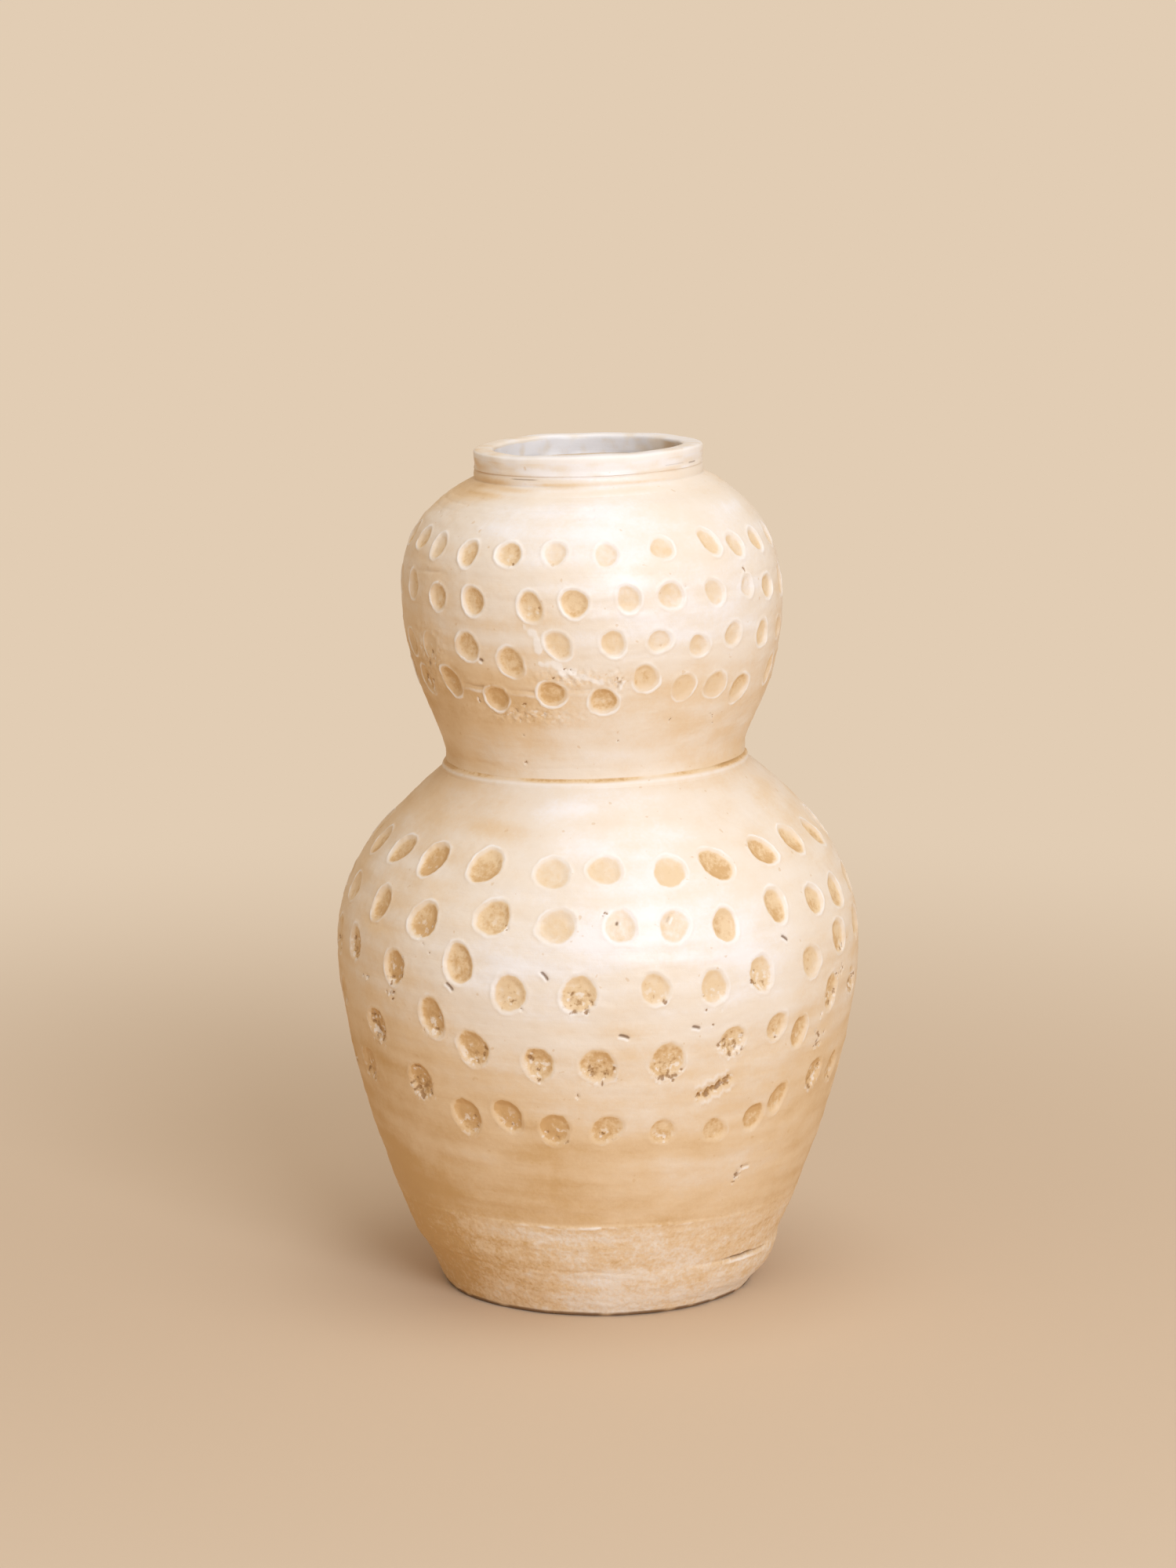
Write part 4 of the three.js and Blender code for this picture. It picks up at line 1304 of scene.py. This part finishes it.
def along_line(start, end, step):
    """Points every step along a straight line from start to end, both with radius and height."""
    start, end = np.array(start), np.array(end)
    count = max(1, int(round(np.hypot(*(end - start)) / step)))
    return start + (end - start) * np.linspace(0, 1, count + 1)[:, None]


def make_luting(turn):
    """From the neck's last ring the bulb's own curve goes on as a roll, and then a band
    stands up and draws in a little to a crease under the collar. A short crack shows on the
    band at the left, and two tan lines on the roll."""
    low_radius, low_height = bulb_skin.moved_out([-1])
    along = np.linspace(bulb_wall.distance_at(NECK_TOP), bulb_wall.along[-1], 9)
    radius, height = (values[:, None] for values in bulb_wall.at(along)[:2])
    carried = np.linspace(1.0, 0.0, 9)[:, None] ** 2
    roll_radius = radius + (low_radius - radius[0]) * carried
    roll_height = height + (low_height - height[0]) * carried
    share = np.linspace(0.0, 1.0, 13)[1:, None]
    band = -LUTING_SET_IN * share + 0.5 * np.sin(math.pi * share) - 0.35 * hump((share - 0.95) / 0.08)
    uneven = 1.0 + 0.3 * np.sin(2 * turn + 1.1) * np.sin(7 * turn)
    band_height = BULB_TOP + LUTING_BAND_RISE * share + np.zeros_like(turn)
    radius = np.concatenate([roll_radius, COLLAR_RADIUS + band * uneven])
    x, y, z = swung(radius, np.concatenate([roll_height, band_height]), turn)
    outside = settle(x, y, z)
    paints = plain_paints(outside, wash_of(x, y, z, turn))
    open_left = 0.7 * smooth_step(0.2, 0.08, np.abs(turn_from(turn, OPEN_CRACK_TURN)))
    paints["line"][:] = hump((z - OPEN_CRACK_HEIGHT) / 0.45) * open_left
    # A faint dark line in the crease under the collar's step: partly the joint and partly painted shade
    paints["line"] += 0.25 * hump((z - COLLAR_FOOT + 0.3) / 0.35)
    tan_lines = np.maximum(0.55 * bell(turn, -16, 18), 0.35 * bell(turn, 28, 20))
    paints["tan"][:] = hump((z - TAN_LINE_HEIGHT) / 0.9) * tan_lines
    seat = bulb_skin.along[-1] - SEAT_LAP
    throat_foot = float(bulb_wall.at(seat)[1]) - WALL + SEAT_LAP
    throat = along_line((COLLAR_BORE, COLLAR_FOOT), (COLLAR_BORE, throat_foot), 2.0)
    throat = settle(*swung(throat[:, :1], throat[:, 1:], turn))
    inside = np.concatenate([throat, inside_ring(bulb_skin, seat)])
    place_coil("collar_luting_clay", "collar_luting_coil", outside, paints, inside, 0.55, "luting_clay")


make_luting(bulb_skin.turn)

# %% Collar
COLLAR_LIP = 2.6
# Each row: turn and half width in degrees, height, darkness
COLLAR_CRACKS = [(48.5, 7.5, 413.1, 0.45), (64.7, 4.2, 412.5, 0.75), (-140, 6, 413, 0.5)]


def make_collar(turn):
    """Up the outside, over a rounded lip and down the bore. The lip's height and the band's
    radius wander by slow sines, short cracks show at the right, the lip's top is painted pale as a
    painted highlight, and the bore is mottled, with painted shade at the right back."""
    shoulder = LIP_HEIGHT - COLLAR_LIP
    middle = (COLLAR_RADIUS + COLLAR_BORE) / 2
    outer = along_line((COLLAR_RADIUS, COLLAR_FOOT), (COLLAR_RADIUS, shoulder), 0.6)
    inner = along_line((COLLAR_BORE, shoulder), (COLLAR_BORE, COLLAR_FOOT), 1.0)
    angles = np.linspace(0, math.pi, 19)[1:-1]
    squash = np.sign(np.cos(angles)) * np.abs(np.cos(angles)) ** 0.62
    lip = np.stack([middle + COLLAR_WALL / 2 * squash, shoulder + COLLAR_LIP * np.sin(angles) ** 0.6], axis=1)
    profile = np.vstack([outer, lip, inner])
    x, y, z = swung(profile[:, :1], profile[:, 1:], turn)
    climb = np.clip((z - COLLAR_FOOT) / COLLAR_RISE, 0.0, 1.0)
    fade = smooth_step(0.0, 0.12, climb)
    wander = 0.30 * unevenness(x, y, z, 45.0, 95) + 0.10 * unevenness(x, y, z, 12.0, 96)
    flare = 0.5 * climb**2 - 0.2 * hump((climb - 0.25) / 0.12)
    flare = np.where(profile[:, :1] > middle, flare, -0.2 * flare)
    sway = 0.35 * np.sin(2 * turn + 0.7) + 0.22 * np.sin(5 * turn + 2.0) + 0.12 * np.sin(11 * turn)
    x, y, z = swung(profile[:, :1] + (flare + 0.8 * wander) * fade, z + sway * climb**2, turn)
    rings = settle(x, y, z)
    paints = plain_paints(rings, wash_of(x, y, z, turn))
    paints["wash"] += 0.12 * unevenness(x, y, z, 14.0, 97, flat=2.0)
    # The bore's wash is mottled, less a patch at the right back that is painted shade
    bore_wash_and_shade = 1.1 + 0.1 * unevenness(x, y, z, 8.0, 98) - 0.6 * bell(turn, 118, 24, z, LIP_HEIGHT, 30)
    paints["wash"][-len(inner) :] = bore_wash_and_shade[-len(inner) :]
    for middle_turn, half_width, height, darkness in COLLAR_CRACKS:
        off = np.degrees(np.abs(turn_from(turn, math.radians(middle_turn))))
        line = hump((outer[:, 1:] - height) / 0.5) * smooth_step(half_width + 1.0, half_width - 1.0, off)
        paints["line"][: len(outer)] = np.maximum(paints["line"][: len(outer)], darkness * line)
    # Pale paint over the lip's top: a painted highlight where it faces up to the light
    paints["rim"][len(outer) - 2 : len(outer) + 4] = 0.6
    place_piece("collar_clay", "collar", rings, paints, [0, len(profile) - 1], "collar_wash")


make_collar(bulb_skin.turn)

# %% [markdown]
# ## Floor, light and camera
#
# The vase stands on a plain pale floor that fades into a backdrop of the same colour. A large
# soft lamp lights it from the upper right in front, a second one from straight above, and a
# slightly warm world fills the shadows. The camera stands where the photograph's did: its
# place was worked out from the curves of the foot, the waist and the lip.

# %% Floor
FLOOR_COLOUR = linear(222, 200, 174)
BACKDROP_COLOUR = linear(226, 205, 180)
FLOOR_RADIUS = 40.0
FLOOR_FADE = (0.25, 1.2)


def under_backdrop(tree, lit, kind, share=1.0):
    """Lays a plain shader of the backdrop's colour over a lit one by share, only for rays
    from the camera, also when seen in gloss or through glass."""
    path = add(tree, "ShaderNodeLightPath").outputs
    seen = Value(tree, path["Is Camera Ray"]).maths("MAXIMUM", path["Is Glossy Ray"])
    seen = seen.maths("MAXIMUM", path["Is Transmission Ray"]) * share
    plain = add(tree, kind, {"Color": BACKDROP_COLOUR}).outputs[0]
    return add(tree, "ShaderNodeMixShader", {0: seen, 1: lit, 2: plain}).outputs[0]


def make_floor(rings=48, columns=96):
    """A wide disc whose far part shows the backdrop's plain colour to the camera."""
    radii = FLOOR_RADIUS * (np.arange(1, rings + 1) / rings) ** 3
    places = disc_rings(radii, 0.0, np.arange(columns) * 2 * math.pi / columns).reshape(-1, 3)
    faces = ring_quads(np.arange(1, rings), np.arange(rings - 1), columns).tolist()
    faces += [(rings * columns, i, (i + 1) % columns) for i in range(columns)]
    mesh = bpy.data.meshes.new("floor")
    mesh.from_pydata(np.vstack([places, (0.0, 0.0, 0.0)]), [], faces)
    floor = bpy.data.objects.new("floor", mesh)
    bpy.context.scene.collection.objects.link(floor)

    material, tree = new_tree(bpy.data.materials, "pale floor")
    shader = tree.nodes["Principled BSDF"]
    shader.inputs["Base Color"].default_value = FLOOR_COLOUR
    shader.inputs["Roughness"].default_value = 0.9
    shader.inputs["Specular IOR Level"].default_value = 0.2
    place = add(tree, "ShaderNodeTexCoord").outputs["Object"]
    distance = add(tree, "ShaderNodeVectorMath", {0: place}, operation="LENGTH").outputs["Value"]
    far_away = Value(tree, distance).step(*FLOOR_FADE)
    mixed = under_backdrop(tree, shader.outputs["BSDF"], "ShaderNodeEmission", far_away)
    feed(tree, tree.nodes["Material Output"].inputs["Surface"], mixed)
    mesh.materials.append(material)


make_floor()

# %% World
WORLD_COLOUR = (1.0, 0.87, 0.73, 1.0)
WORLD_LIGHT = 0.5


def make_world():
    """Soft, slightly warm light all round; the camera sees the backdrop's colour instead."""
    world, tree = new_tree(bpy.data.worlds, "studio")
    tree.nodes.clear()
    light = add(tree, "ShaderNodeBackground", {"Color": WORLD_COLOUR, "Strength": WORLD_LIGHT}).outputs[0]
    add(tree, "ShaderNodeOutputWorld", {"Surface": under_backdrop(tree, light, "ShaderNodeBackground")})
    bpy.context.scene.world = world


make_world()

# %% Lamps
LAMP_AIM = (0.0, 0.0, 0.2)


def area_lamp(name, place, size, power, colour):
    """A square lamp at place that faces the vase."""
    lamp = bpy.data.lights.new(name, "AREA")
    lamp.shape = "SQUARE"
    lamp.size = size
    lamp.energy = power
    lamp.color = colour
    holder = bpy.data.objects.new(name, lamp)
    holder.location = place
    away = np.array(place) - np.array(LAMP_AIM)
    distance = float(np.linalg.norm(away))
    holder.rotation_euler = (math.acos(away[2] / distance), 0.0, math.atan2(away[1], away[0]) + math.pi / 2)
    bpy.context.scene.collection.objects.link(holder)
    print(name, "stands", round(distance, 2), "m away")


area_lamp("key", (1.47, -3.63, 1.96), size=1.8, power=95.0, colour=(0.87, 0.93, 1.02))
area_lamp("top", (0.4, -0.5, 4.2), size=2.4, power=37.0, colour=(0.98, 0.97, 0.96))

# %% Camera
VIEW_WIDTH, VIEW_HEIGHT = 1500, 2000
FOCAL_PIXELS = 5720.0
SENSOR = 36.0
CAMERA_PLACE = (-0.0048, -2.1874, 0.6555)
CAMERA_PITCH = 10.48

camera = bpy.data.cameras.new("camera")
camera.sensor_fit = "AUTO"
camera.sensor_width = SENSOR
camera.lens = FOCAL_PIXELS * SENSOR / max(VIEW_WIDTH, VIEW_HEIGHT)
stand = bpy.data.objects.new("camera", camera)
stand.location = CAMERA_PLACE
stand.rotation_euler = (math.radians(90.0 - CAMERA_PITCH), 0.0, 0.0)
bpy.context.scene.collection.objects.link(stand)
bpy.context.scene.camera = stand
bpy.context.scene.view_settings.view_transform = "Standard"
print("lens", round(camera.lens, 1), "mm")
